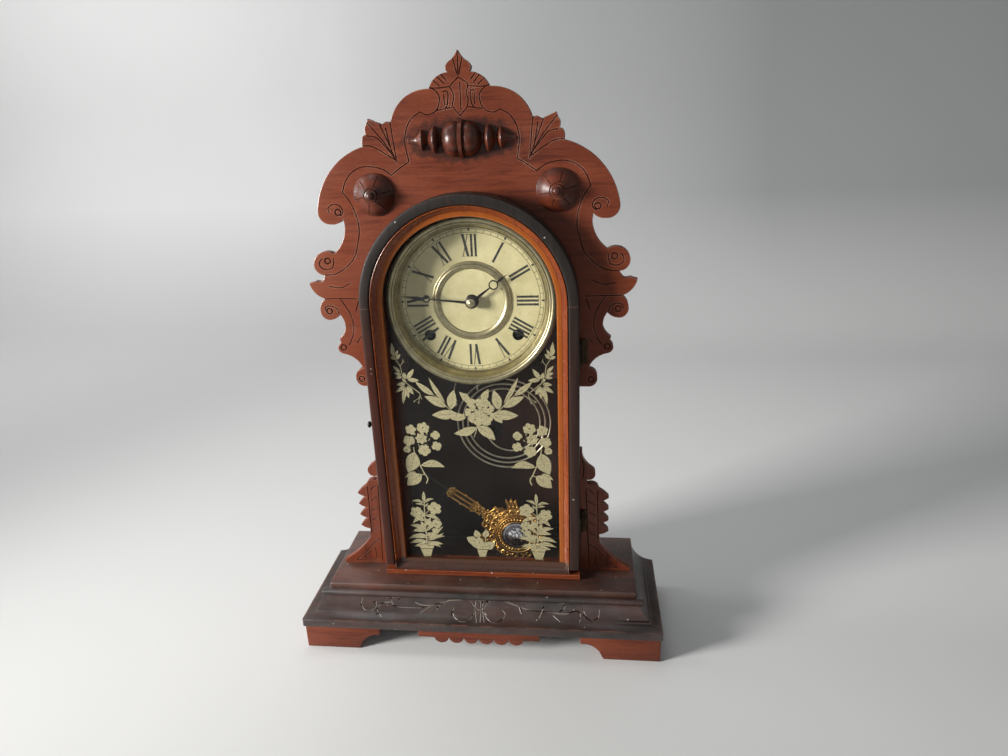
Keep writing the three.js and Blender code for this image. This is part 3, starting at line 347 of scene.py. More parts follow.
# ---------- finishes ----------
class Finish:
    """A Principled material, built from nodes that read object coordinates in metres."""

    def __init__(self, name, roughness=0.4, metallic=0.0, coat=0.0, coat_roughness=0.15, shine=0.5):
        self.material = bpy.data.materials.new(name)
        self.material.use_nodes = True
        self.nodes = self.material.node_tree.nodes
        self.links = self.material.node_tree.links
        self.shader = self.nodes["Principled BSDF"]
        self.put("Roughness", roughness)
        self.put("Metallic", metallic)
        self.put("Coat Weight", coat)
        self.put("Coat Roughness", coat_roughness)
        self.put("Specular IOR Level", shine)
        self.place = self.nodes.new("ShaderNodeTexCoord").outputs["Object"]

    def put(self, socket, value):
        """Sets one of the shader's sockets to a number, a colour or another node's output."""
        self.join(value, self.shader.inputs[socket])

    def join(self, value, socket):
        if isinstance(value, bpy.types.NodeSocket):
            self.links.new(value, socket)
        elif isinstance(value, tuple) and len(value) == 3 and socket.type == "RGBA":
            socket.default_value = (*value, 1)
        else:
            socket.default_value = value

    def node(self, kind, **values):
        """A node with some of its sockets set; an underscore in a socket's name stands for a space."""
        made = self.nodes.new(f"ShaderNode{kind}")
        for socket, value in values.items():
            self.join(value, made.inputs[socket.replace("_", " ")])
        return made

    def stretched(self, scale, centre=(0, 0, 0)):
        return self.node("Mapping", Vector=self.place, Location=centre, Scale=scale).outputs["Vector"]

    def noise(self, scale, detail=4.0, distortion=0.0, rough=0.55):
        """Noise whose grain is 1 / scale metres along each axis, or along all of them."""
        scale = scale if isinstance(scale, tuple) else (scale, scale, scale)
        return self.node("TexNoise", Vector=self.stretched(scale), Scale=1, Detail=detail, Roughness=rough,
                         Distortion=distortion).outputs["Fac"]

    def split(self, place=None):
        return self.node("SeparateXYZ", Vector=place or self.place).outputs

    def along(self, axis, start, end):
        """From 0 to 1 between two places on an axis, in metres."""
        return self.maths("DIVIDE", self.maths("SUBTRACT", self.split()[axis], start, False), end - start)

    def ramp(self, source, *stops):
        """Colours or greys at positions from 0 to 1."""
        node = self.nodes.new("ShaderNodeValToRGB")
        self.links.new(source, node.inputs["Fac"])
        points = node.color_ramp.elements
        while len(points) < len(stops):
            points.new(0.5)
        for point, (position, colour) in zip(points, stops):
            point.position = position
            point.color = (*colour, 1) if isinstance(colour, tuple) else (colour, colour, colour, 1)
        return node.outputs["Color"]

    def mix(self, share, first, second):
        node = self.nodes.new("ShaderNodeMix")
        node.data_type = "RGBA"
        self.join(share, node.inputs[0])
        self.join(first, node.inputs[6])
        self.join(second, node.inputs[7])
        return node.outputs[2]

    def maths(self, operation, first, second=0.0, clamp=True):
        node = self.nodes.new("ShaderNodeMath")
        node.operation = operation
        node.use_clamp = clamp
        self.join(first, node.inputs[0])
        self.join(second, node.inputs[1])
        return node.outputs["Value"]

    def times(self, first, second):
        return self.maths("MULTIPLY", first, second)

    def over(self, colour, tone, mask, share):
        """A colour with a share of a tone laid over it where a mask is white."""
        return self.mix(self.times(mask, share), colour, tone)

    def distance(self, scale, centre):
        """How far a place lies from a centre, after stretching."""
        node = self.node("VectorMath")
        node.operation = "LENGTH"
        self.join(self.stretched(scale, centre), node.inputs[0])
        return node.outputs["Value"]

    def edges(self, radius=0.0012, low=0.02, high=0.3):
        """White along a piece's sharp edges, where the finish is rubbed; on varnished wood and the door's
        band that pale edge is also a painted highlight.
        """
        soft = self.node("Bevel", Radius=radius)
        soft.samples = 4
        dot = self.node("VectorMath")
        dot.operation = "DOT_PRODUCT"
        for normal, socket in zip((soft, self.node("NewGeometry")), dot.inputs):
            self.join(normal.outputs["Normal"], socket)
        return self.ramp(self.maths("SUBTRACT", 1.0, dot.outputs["Value"]), (low, 0.0), (high, 1.0))

    def specks(self, scale, size=0.12, share=0.85):
        """White dots, one in a few of the cells of 1 / scale metres."""
        cells = self.node("TexVoronoi", Vector=self.place, Scale=scale).outputs
        dot = self.maths("LESS_THAN", cells["Distance"], size)
        shade = self.node("SeparateColor", Color=cells["Color"]).outputs["Red"]
        return self.times(dot, self.maths("GREATER_THAN", shade, share))

    def bump(self, height, strength=0.3, distance=0.0002):
        node = self.node("Bump", Height=height, Strength=strength, Distance=distance)
        self.put("Normal", node.outputs["Normal"])


def grain_scale(along, fine, long):
    """Noise scale for wood whose grain runs along an axis."""
    return tuple(long if axis == along else fine for axis in "XYZ")


def varnished(name, dark, middle, light, along="Z", roughness=0.36, coat=0.12, shine=0.25, edge_wear_and_highlight=None,
              dust=0.0, sooty=None, fades=()):
    """Varnished wood: broad figure, fine grain, open pores, and pale edges in a given colour, partly rubbed
    wear and partly a painted highlight along the edges.
    Sooty is an ellipse (x, z, half width, half height) in metres where dirt has gathered. Each fade changes
    the colour from one place to another along an axis."""
    wood = Finish(name, coat=coat, coat_roughness=0.22, shine=shine)
    broad = wood.noise(grain_scale(along, 34, 7), detail=4, distortion=0.9)
    figure = wood.ramp(broad, (0.35, 0.0), (0.66, 1.0))
    streaks = wood.noise(grain_scale(along, 300, 22), detail=7, distortion=0.5, rough=0.62)
    colour = wood.mix(figure, wood.ramp(streaks, (0.25, dark), (0.5, middle)),
                      wood.ramp(streaks, (0.35, middle), (0.75, light)))
    pores = wood.ramp(wood.noise(grain_scale(along, 2600, 160), detail=2), (0.36, 0.0), (0.46, 1.0))
    colour = wood.over(colour, dark, wood.maths("SUBTRACT", 1.0, pores), 0.4)
    if sooty:
        x, z, wide, high = sooty
        spread = wood.distance((1 / wide, 0, 1 / high), (-x / wide, 0, -z / high))
        clumps = wood.noise(160, detail=5)
        ragged = wood.maths("ADD", wood.times(spread, 0.5), wood.times(clumps, 0.5))
        soot = wood.times(wood.ramp(ragged, (0.66, 1.0), (0.8, 0.0)), wood.along("Y", 0.004, 0.003))
        colour = wood.over(colour, (0.012, 0.006, 0.005), soot, 0.72)
    for axis, start, end, tone, share in fades:
        colour = wood.over(colour, tone, wood.along(axis, start, end), share)
    # Pale edges in patches: rubbed wear, and partly a painted highlight where the edges catch the light.
    if edge_wear_and_highlight:
        patches = wood.ramp(wood.noise(45, detail=6), (0.45, 0.15), (0.62, 1.0))
        colour = wood.over(colour, edge_wear_and_highlight, wood.edges(0.0013, 0.012, 0.12), patches)
    if dust:
        colour = wood.over(colour, (0.62, 0.6, 0.54), wood.specks(190), dust)
    wood.put("Base Color", colour)
    smears = wood.noise(26, detail=5)
    wood.put("Roughness", wood.ramp(smears, (0.3, roughness - 0.07), (0.7, roughness + 0.12)))
    crackle = wood.noise(900, detail=3)
    wood.bump(wood.mix(0.5, wood.mix(0.4, streaks, pores), crackle), strength=0.16)
    return wood.material


RED_DARK = (0.036, 0.0065, 0.0035)
RED = (0.125, 0.026, 0.0105)
RED_LIGHT = (0.215, 0.052, 0.021)
# Rubbed bare wood along edges; the crest's fade along X also lays this colour over its left shoulders as a
# painted sheen.
RUBBED_AND_SHEEN = (0.25, 0.095, 0.055)
# Pale dust along the crest's edges, partly a painted highlight on them.
DUST_AND_HIGHLIGHT = (0.42, 0.23, 0.165)
PALE_DUST = (0.6, 0.58, 0.53)
SOOT = (0, 0.4885, 0.052, 0.0185)

walnut = varnished("walnut", RED_DARK, RED, RED_LIGHT, edge_wear_and_highlight=RUBBED_AND_SHEEN)
# The crest's fade along X lightens its left shoulders: a painted sheen where the light from the left falls.
crest_walnut = varnished("crest_walnut", RED_DARK, RED, RED_LIGHT, along="X", edge_wear_and_highlight=DUST_AND_HIGHLIGHT, sooty=SOOT,
                         fades=[("Z", 0.42, 0.345, (0.14, 0.027, 0.008), 0.45),
                                ("X", -0.11, -0.175, RUBBED_AND_SHEEN, 0.5)])
walnut_long = varnished("walnut_long", RED_DARK, RED, RED_LIGHT, along="X", edge_wear_and_highlight=RUBBED_AND_SHEEN)
# Darker walnut for the cut faces of grooves: partly dirt in them and partly painted shade in the recesses.
groove_dirt_and_shade = varnished("walnut_groove_dirt_and_shade", (0.022, 0.006, 0.004), (0.055, 0.0135, 0.007),
                          (0.1, 0.026, 0.013), coat=0.3)
# Two painted marks on the moulding: the fillet and the drop behind it lighter and golden, a painted
# highlight on the faces that look forward; the bottom run dark grey, a painted reflection.
moulding_wood = varnished("moulding_wood", (0.04, 0.006, 0.0015), (0.15, 0.026, 0.004), (0.27, 0.06, 0.007),
                          roughness=0.25, coat=0.35, shine=0.3,
                          fades=[("Y", -0.0146, -0.0138, (0.29, 0.075, 0.006), 0.75),
                                 ("Z", 0.08, 0.0786, (0.024, 0.016, 0.013), 0.85)])
pale_groove = varnished("rubbed_groove", (0.09, 0.075, 0.065), (0.17, 0.15, 0.13), (0.26, 0.235, 0.2),
                        coat=0.1, roughness=0.5)
# Near-black wood for the inside of the case: partly the old wood's own dark tone, partly painted shade for
# the dark inside.
case_wood = varnished("case_wood", (0.012, 0.004, 0.0025), (0.03, 0.0085, 0.0045), (0.055, 0.016, 0.008),
                      roughness=0.6, coat=0.0)
rail_wood = varnished("rail_wood", (0.055, 0.01, 0.004), (0.14, 0.028, 0.009), (0.26, 0.065, 0.02),
                      along="X", edge_wear_and_highlight=RUBBED_AND_SHEEN, dust=0.7)


def blackened(name, along="X", rub=0.55, dust=0.8, red=0.5, coat=0.3, shine=0.4, film=0.12,
              black=(0.012, 0.0105, 0.0095), grey=(0.028, 0.025, 0.023), brown=(0.085, 0.024, 0.014)):
    """Ebonised wood: near black with a satin sheen, red-brown where rubbed thin, dust and pale nicks."""
    wood = Finish(name, coat=coat, coat_roughness=0.32, shine=shine)
    streaks = wood.noise(grain_scale(along, 300, 40), detail=6, rough=0.6)
    colour = wood.ramp(streaks, (0.3, black), (0.7, grey))
    thin = wood.ramp(wood.noise(grain_scale(along, 42, 11), detail=8, rough=0.68), (0.36, 0.0), (0.7, 1.0))
    colour = wood.over(colour, brown, thin, red)
    patches = wood.ramp(wood.noise(80, detail=6), (0.42, 0.1), (0.6, 1.0))
    colour = wood.over(colour, (0.24, 0.105, 0.07), wood.times(wood.edges(0.0014), patches), rub)
    haze = wood.ramp(wood.noise(35, detail=6), (0.45, 0.0), (0.75, 1.0))
    colour = wood.over(colour, (0.2, 0.19, 0.175), haze, film)
    colour = wood.over(colour, PALE_DUST, wood.specks(190, 0.1, 0.88), dust)
    colour = wood.over(colour, PALE_DUST, wood.specks(520, 0.13, 0.93), dust * 0.6)
    wood.put("Base Color", colour)
    wood.put("Roughness", wood.ramp(wood.noise(22, detail=6), (0.3, 0.26), (0.7, 0.46)))
    wood.bump(wood.mix(0.5, streaks, wood.noise(800, detail=3)), strength=0.14)
    return wood.material


ebonised = blackened("ebonised")
base_black = blackened("base_top_black", rub=0.7, red=0.85, black=(0.022, 0.013, 0.01),
                       grey=(0.04, 0.024, 0.019), brown=(0.12, 0.036, 0.021))
ebonised_turned = blackened("ebonised_turned", rub=0.45, dust=0.1, red=0.9, coat=0.3, shine=0.22, film=0.0,
                            black=(0.006, 0.0035, 0.0028), grey=(0.016, 0.006, 0.004),
                            brown=(0.17, 0.033, 0.012))


def door_band():
    """The arch's band: charcoal round the crown, warming to red-brown below the spring line and most on the
    left; the crown's grey and the left's extra warmth are partly painted reflection.
    """
    wood = Finish("door_band", coat=0.04, coat_roughness=0.3, shine=0.22)
    streaks = wood.noise((300, 300, 14), detail=6)
    black = wood.ramp(streaks, (0.3, (0.012, 0.0095, 0.008)), (0.7, (0.026, 0.021, 0.018)))
    height = wood.times(wood.maths("SUBTRACT", 0.365, wood.split()["Z"]), 14)
    left = wood.maths("LESS_THAN", wood.split()["X"], 0.0)
    warm = wood.ramp(streaks, (0.3, (0.026, 0.006, 0.003)), (0.7, (0.046, 0.01, 0.0045)))
    # Painted reflection in part: the left stile is warmed more than the right.
    colour = wood.over(black, warm, height, wood.maths("ADD", wood.times(left, 0.55), 0.4))
    # Pale edges: partly rubbed, partly a painted highlight along the band's edges.
    colour = wood.over(colour, (0.3, 0.16, 0.12), wood.edges(0.001), 0.35)
    colour = wood.over(colour, (0.5, 0.5, 0.48), wood.specks(170, 0.12, 0.9), 0.6)
    wood.put("Base Color", colour)
    wood.put("Roughness", wood.ramp(wood.noise(22, detail=6), (0.3, 0.3), (0.7, 0.46)))
    wood.bump(streaks, strength=0.08)
    return wood.material


band_wood = door_band()


def metal(name, base, shade, roughness=0.3, spread=0.18, grime=(0.02, 0.018, 0.012), dirt=0.3):
    """Aged metal: two tones of the same colour, uneven polish and grime in patches."""
    part = Finish(name, metallic=1.0)
    cloud = part.noise(90, detail=7)
    colour = part.ramp(cloud, (0.3, shade), (0.7, base))
    stains = part.ramp(part.noise(240, detail=5), (0.55, 0.0), (0.72, 1.0))
    colour = part.over(colour, grime, stains, dirt)
    part.put("Base Color", colour)
    part.put("Roughness", part.ramp(cloud, (0.25, roughness + spread), (0.75, roughness)))
    part.bump(part.noise(700, detail=3), strength=0.06, distance=0.0001)
    return part.material


brass = metal("bezel_brass", (0.52, 0.46, 0.28), (0.3, 0.26, 0.145), roughness=0.28)
# Brass darkened near black: painted shade for the dark inside of the case.
plate_brass_painted_shade = metal("plate_brass_painted_shade", (0.045, 0.032, 0.014), (0.02, 0.014, 0.006), roughness=0.5)
gilt = metal("gilt", (0.72, 0.44, 0.13), (0.42, 0.23, 0.05), roughness=0.27, grime=(0.08, 0.04, 0.01),
             dirt=0.65)
# Dark ground of the pressed stem and bob, under the bright relief: partly grime in the hollows, partly
# painted shade round the raised work.
gilt_ground_grime_and_shade = metal("gilt_ground_grime_and_shade", (0.3, 0.15, 0.035), (0.12, 0.055, 0.012), roughness=0.36,
                    grime=(0.02, 0.01, 0.004), dirt=0.8)
dark_wire = metal("hook_wire", (0.12, 0.09, 0.05), (0.05, 0.038, 0.02), roughness=0.42)
steel = metal("gong_steel", (0.78, 0.72, 0.54), (0.5, 0.45, 0.32), roughness=0.3)
# Blued steel for the hands; on the winding arbors the same dark steel is painted shade.
dark_steel = metal("blued_steel_and_painted_shade", (0.06, 0.055, 0.05), (0.025, 0.024, 0.026), roughness=0.34, dirt=0.2)
iron = metal("knob_iron", (0.05, 0.045, 0.04), (0.02, 0.018, 0.017), roughness=0.42, dirt=0.3)
hinge_brass = metal("hinge_brass", (0.075, 0.052, 0.03), (0.03, 0.02, 0.014), roughness=0.48, dirt=0.5)


def dial_paint():
    """Cream paint gone faintly green, with brown spots."""
    paint = Finish("dial_paint", coat=0.08, coat_roughness=0.35)
    cloud = paint.noise(55, detail=7)
    colour = paint.ramp(cloud, (0.3, (0.47, 0.42, 0.215)), (0.7, (0.6, 0.54, 0.3)))
    spots = paint.ramp(paint.noise(260, detail=7), (0.56, 0.0), (0.72, 1.0))
    colour = paint.over(colour, (0.36, 0.27, 0.12), spots, 0.35)
    colour = paint.over(colour, (0.3, 0.2, 0.08), paint.specks(420, 0.12, 0.9), 0.5)
    paint.put("Base Color", colour)
    paint.put("Roughness", paint.ramp(cloud, (0.3, 0.42), (0.7, 0.55)))
    paint.bump(paint.noise(900, detail=3), strength=0.05, distance=0.0001)
    return paint.material


def printed(name, ink, fade, roughness=0.6):
    """Ink or stencilled paint, thin in places."""
    layer = Finish(name, roughness=roughness)
    wear = layer.noise(600, detail=6)
    layer.put("Base Color", layer.ramp(wear, (0.35, fade), (0.55, ink)))
    layer.bump(wear, strength=0.1, distance=0.0001)
    return layer.material


dial_cream = dial_paint()
dial_ink = printed("dial_ink", (0.012, 0.012, 0.01), (0.06, 0.055, 0.04))
track_ink = printed("track_ink", (0.06, 0.055, 0.035), (0.16, 0.14, 0.08))
stencil_paint = printed("stencil_paint", (0.37, 0.325, 0.18), (0.2, 0.175, 0.09), roughness=0.5)


def clear_glass():
    """Old window glass: nearly clear, with a faint film that catches the light."""
    pane = Finish("door_glass", roughness=0.04, shine=0.16)
    film = pane.noise(14, detail=5)
    pane.put("Base Color", pane.ramp(film, (0.3, (0.1, 0.11, 0.105)), (0.7, (0.2, 0.21, 0.2))))
    pane.put("Roughness", pane.ramp(film, (0.3, 0.03), (0.7, 0.07)))
    pane.put("Alpha", 0.035)
    pane.put("IOR", 1.5)
    return pane.material


def foiled_glass():
    """The jewel in the bob: pressed glass over silver foil, a bright flower inside a dark ring."""
    glass = Finish("foiled_glass", metallic=1.0, coat=1.0, coat_roughness=0.02)
    scale = 1 / MM / JEWEL_RADIUS
    spread = glass.distance((scale, 0, scale), (-BOB.x / JEWEL_RADIUS, 0, -BOB.z / JEWEL_RADIUS))
    cells = glass.node("TexVoronoi", Vector=glass.place, Scale=200)
    cells.feature = "DISTANCE_TO_EDGE"
    flower = glass.ramp(cells.outputs["Distance"], (0.04, (0.04, 0.04, 0.05)), (0.1, (0.6, 0.6, 0.62)),
                        (0.22, (0.95, 0.94, 0.93)))
    rings = glass.ramp(spread, (0.62, (0.02, 0.02, 0.026)), (0.7, (0.2, 0.2, 0.24)),
                       (0.77, (0.05, 0.05, 0.06)), (0.86, (0.5, 0.49, 0.52)), (0.93, (0.08, 0.07, 0.08)))
    edge = glass.ramp(spread, (0.6, 0.0), (0.65, 1.0))
    glass.put("Base Color", glass.mix(edge, flower, rings))
    glass.put("Roughness", glass.ramp(cells.outputs["Distance"], (0.05, 0.35), (0.4, 0.15)))
    return glass.material


pane_glass = clear_glass()
jewel_glass = foiled_glass()


# ---------- camera, floor and light ----------
def make_stage():
    """A pale floor that curves up into a backdrop well behind the clock."""
    room = Finish("pale_paper", roughness=0.85)
    wall = room.split(room.stretched((0.5, 0.5, 0.5), (0.5, 0.5, 0)))
    # Painted light on the backdrop: pale on the left and dark on the right, a painted pool of light fading
    # into painted shade.
    across = room.ramp(wall["X"], (0.2, (0.86, 0.86, 0.845)), (0.8, (0.36, 0.365, 0.365)))
    across = room.mix(room.along("Z", 0.02, 0.3), (0.62, 0.62, 0.61), across)
    cloud = room.times(room.noise(3, detail=3), 0.12)
    room.put("Base Color", room.mix(cloud, across, (0.5, 0.51, 0.52)))
    bm = bmesh.new()
    curve = [(0.9 + 0.6 * math.sin(angle), 0.6 - 0.6 * math.cos(angle))
             for angle in [math.pi / 2 * i / 16 for i in range(1, 17)]]
    rows = [(-3.5, 0), (0.9, 0), *curve, (1.5, 3.2)]
    verts = [bm.verts.new((-4, y, z - 0.0002)) for y, z in rows]
    edges = [bm.edges.new(pair) for pair in zip(verts, verts[1:])]
    made = bmesh.ops.extrude_edge_only(bm, edges=edges)["geom"]
    far = [g for g in made if isinstance(g, bmesh.types.BMVert)]
    bmesh.ops.translate(bm, vec=(8, 0, 0), verts=far)
    bmesh.ops.recalc_face_normals(bm, faces=bm.faces)
    bmesh.ops.scale(bm, vec=(1 / MM, 1 / MM, 1 / MM), verts=bm.verts)
    stored(bm, "floor_and_backdrop", room.material)


CAMERA_PLACE = (0.1046287, -0.6353374, 0.5023044)
CAMERA_TURNS = ((-0.03966037, "Z"), (0.34455505, "X"))   # roll and pitch, in radians
CAMERA_YAW = -0.12154208
FOCAL_LENGTH = 715.424   # in pixels of a picture this wide
PICTURE_WIDE = 1008
SENSOR_WIDE = 36


def make_camera():
    roll, pitch = (Matrix.Rotation(angle, 3, axis) for angle, axis in CAMERA_TURNS)
    yaw = Matrix.Rotation(CAMERA_YAW, 3, "Z")
    rows = roll @ pitch @ Matrix(((1, 0, 0), (0, 0, -1), (0, 1, 0))) @ yaw
    lens = bpy.data.cameras.new("camera")
    lens.sensor_width = SENSOR_WIDE
    lens.lens = FOCAL_LENGTH * SENSOR_WIDE / PICTURE_WIDE
    lens.shift_x = 1.5 / PICTURE_WIDE
    lens.clip_start = 0.01
    camera = linked("camera", lens)
    turn = Matrix((rows[0], -rows[1], -rows[2])).transposed().to_4x4()
    camera.matrix_world = Matrix.Translation(CAMERA_PLACE) @ turn
    bpy.context.scene.camera = camera


def softbox(name, place, aim, size, power, colour, spread=180):
    """A rectangular lamp in metres and watts, whose light spreads over an angle in degrees."""
    lamp = bpy.data.lights.new(name, "AREA")
    lamp.spread = math.radians(spread)
    lamp.shape = "RECTANGLE"
    lamp.size, lamp.size_y = size
    lamp.energy = power
    lamp.color = colour
    turn = (Vector(place) - Vector(aim)).to_track_quat("Z", "Y").to_matrix().to_4x4()
    linked(name, lamp).matrix_world = Matrix.Translation(place) @ turn


def make_light():
    softbox("window", (-1.5, -0.78, 0.6), (0, 0, 0.33), (0.42, 0.48), 9.2, (1.0, 0.985, 0.96), 64)
    softbox("fill", (0.4, -1.7, 1.3), (0, 0, 0.25), (1.0, 1.0), 2.4, (0.97, 0.985, 1.0))
    softbox("backdrop_wash", (-1.5, 0.2, 1.5), (-0.9, 1.4, 0.4), (0.6, 0.6), 11, (1.0, 1.0, 1.0), 140)
    softbox("overhead", (-0.3, 0.45, 1.7), (0, 0.1, 0.3), (1.2, 0.8), 7.5, (0.97, 0.985, 1.0))
    world = bpy.data.worlds.new("studio")
    world.use_nodes = True
    nodes, links = world.node_tree.nodes, world.node_tree.links
    plain = nodes["Background"]
    plain.inputs["Color"].default_value = (0.93, 0.96, 1.0, 1)
    plain.inputs["Strength"].default_value = 0.17
    seen = nodes.new("ShaderNodeBackground")
    seen.inputs["Color"].default_value = (0.38, 0.385, 0.39, 1)
    rays = nodes.new("ShaderNodeLightPath")
    seen_by = rays.outputs["Is Camera Ray"]
    for kind in ("Is Glossy Ray", "Is Transmission Ray"):
        either = nodes.new("ShaderNodeMath")
        either.operation = "MAXIMUM"
        links.new(seen_by, either.inputs[0])
        links.new(rays.outputs[kind], either.inputs[1])
        seen_by = either.outputs["Value"]
    blend = nodes.new("ShaderNodeMixShader")
    links.new(seen_by, blend.inputs["Fac"])
    links.new(plain.outputs["Background"], blend.inputs[1])
    links.new(seen.outputs["Background"], blend.inputs[2])
    links.new(blend.outputs["Shader"], nodes["World Output"].inputs["Surface"])
    bpy.context.scene.world = world
    bpy.context.scene.view_settings.view_transform = "Standard"


make_stage()
make_camera()
make_light()


# ---------- base ----------
def cove_point(share):
    """Inset and height on the hollow of the base, from its lower edge at 0 to its upper edge at 1."""
    start, end = at(0, PLINTH_TOP), at(COVE_INSET, COVE_TOP)
    turn = 4 * math.atan(0.3)
    radius = (end - start).length / 2 / math.sin(turn / 2)
    left = at(start.z - end.z, end.x - start.x).normalized()
    centre = (start + end) / 2 + left * radius * math.cos(turn / 2)
    place = centre + Matrix.Rotation(-turn * share, 3, "Y") @ (start - centre)
    return place.x, place.z, (centre - place).normalized()


def make_cove():
    bm = bmesh.new()
    bmesh.ops.create_grid(bm, x_segments=1, y_segments=1, size=1)
    deep = 2 * BASE_DEEP
    bmesh.ops.scale(bm, vec=(BASE_HALF, BASE_DEEP, 1), verts=bm.verts)
    bmesh.ops.translate(bm, vec=(0, 0, PLINTH_TOP), verts=bm.verts)
    region, before = bm.faces[:], (0.0, PLINTH_TOP)
    for step in range(1, 19):
        inset, z, _ = cove_point(step / 18)
        made = bmesh.ops.extrude_face_region(bm, geom=region)["geom"]
        region = [g for g in made if isinstance(g, bmesh.types.BMFace)]
        verts = [g for g in made if isinstance(g, bmesh.types.BMVert)]
        grow = ((BASE_HALF - inset) / (BASE_HALF - before[0]), (deep - inset) / (deep - before[0]), 1)
        bmesh.ops.scale(bm, vec=grow, space=Matrix.Translation((0, -BASE_DEEP, 0)), verts=verts)
        bmesh.ops.translate(bm, vec=(0, 0, z - before[1]), verts=verts)
        before = (inset, z)
    for step in range(-31, 32):   # cross cuts keep the faces under the scrolls short
        bmesh.ops.bisect_plane(bm, geom=everything(bm), plane_co=(step * 4.1, 0, 0), plane_no=(1, 0, 0))
    return bm


# The scrolls cut into the hollow, as (x, share of the way up).
COVE_SCROLLS = [
    [(-122.3, 0.86), (-122.7, 0.68), (-118.6, 0.48), (-112.2, 0.45), (-107.0, 0.6), (-107.9, 0.74)],
    [(-90.5, 0.76), (-99.5, 0.73), (-105.0, 0.58), (-104.1, 0.4), (-99.8, 0.26)],
    [(-82.9, 0.84), (-85.1, 0.93), (-90.3, 0.92), (-92.2, 0.82), (-89.0, 0.67), (-79.7, 0.61),
     (-61.7, 0.62), (-45.3, 0.75), (-31.4, 0.88), (-18.6, 0.93)],
    [(-67.2, 0.78), (-59.3, 0.7), (-52.8, 0.69)], [(-31.4, 0.9), (-40.1, 0.74), (-44.8, 0.56)],
    [(-60.9, 0.43), (-51.6, 0.66)],
    [(-11.0, 0.9), (-6.2, 0.7), (-6.8, 0.42), (-13.0, 0.2), (-21.5, 0.24), (-27.3, 0.45), (-27.1, 0.64)],
    [(8.0, 0.9), (4.0, 0.67), (6.4, 0.39), (13.7, 0.2), (21.7, 0.28), (25.7, 0.5), (22.2, 0.64)],
    [(-4.2, 0.93), (-5.0, 0.62), (-2.2, 0.18)], [(-0.4, 0.93), (1.0, 0.63), (1.3, 0.19)],
    [(3.2, 0.93), (2.6, 0.63), (5.3, 0.19)], [(-7.0, 0.74), (-1.2, 0.61), (5.6, 0.76)],
    [(24.4, 0.93), (37.0, 0.79), (49.6, 0.67), (67.0, 0.63), (84.2, 0.59), (96.5, 0.7), (100.2, 0.6),
     (99.7, 0.33)],
    [(42.3, 0.56), (40.0, 0.76)], [(59.8, 0.42), (62.0, 0.61), (64.4, 0.8)],
    [(79.2, 0.93), (84.1, 0.9), (84.7, 0.77), (80.5, 0.67)], [(74.5, 0.52), (80.7, 0.34)],
    [(102.6, 0.74), (106.3, 0.51), (112.3, 0.41), (117.9, 0.52), (119.0, 0.76)],
]


def cove_paths():
    made = []
    for points in COVE_SCROLLS:
        path = []
        for p in flowing(points, 4):
            inset, z, _ = cove_point(p.z)
            path.append(Vector((p.x, inset - BASE_DEEP, z)))
        made.append(path)
    return made


def out_of_cove(place):
    inset, low = place.y + BASE_DEEP, 0.0
    share = min(range(101), key=lambda i: abs(cove_point(i / 100)[0] - inset)) / 100
    away = cove_point(share)[2]
    return Vector((0, away.x, away.z))


def bead_section():
    radius = (BEAD_TOP - COVE_TOP) / 2
    angles = [math.pi * i / 12 for i in range(13)]
    front, back = TOP_INSET - BASE_DEEP - BEAD_PROUD + radius, TOP_INSET - BASE_DEEP
    nose = [(front - radius * math.sin(a), COVE_TOP + radius * (1 - math.cos(a))) for a in angles]
    return [*nose, (back, BEAD_TOP), (back, COVE_TOP)]


def make_base():
    plinth = brick((-BASE_HALF, BASE_HALF), (-BASE_DEEP, BASE_DEEP), (FOOT_TOP, PLINTH_TOP), 1.3, 3)
    piece(plinth, "base_plinth", "case", ebonised, ("plinth_board",))
    cove = piece(make_cove(), "base_hollow", "case", ebonised, ("base_cove", "base_back_rail"))
    carved(cove, stored(grooves(cove_paths(), 1.3, 0.6, out_of_cove), "cove_cutter", pale_groove))
    half = BASE_HALF - TOP_INSET + BEAD_PROUD
    bead = sweep(bmesh.new(), bead_section(), [station(at(x, 0), TO_BACK, UP) for x in (-half, half)])
    ends = [e for e in bead.edges if e.calc_face_angle(0) > 1 and abs(abs(e.verts[0].co.x) - half) < 1e-3
            and abs(abs(e.verts[1].co.x) - half) < 1e-3]
    bmesh.ops.bevel(bead, geom=ends, offset=1.2, segments=3, profile=0.5, affect="EDGES", material=-1,
                    clamp_overlap=True)
    piece(bead, "base_bead_moulding", "case", ebonised, ("base_bead",))
    top = BASE_HALF - TOP_INSET
    board = brick((-top, top), (TOP_INSET - BASE_DEEP, BASE_DEEP), (COVE_TOP, FLOOR), 1.6, 3)
    piece(board, "base_top", "case", base_black, ("base_top_board",))
    dressed("base_apron", "case", walnut_long, 0.5)
    for word in SIDES:
        for end in ("front", "back"):
            dressed(f"foot_{end}_{word}", "case", walnut_long, 0.9)


make_base()


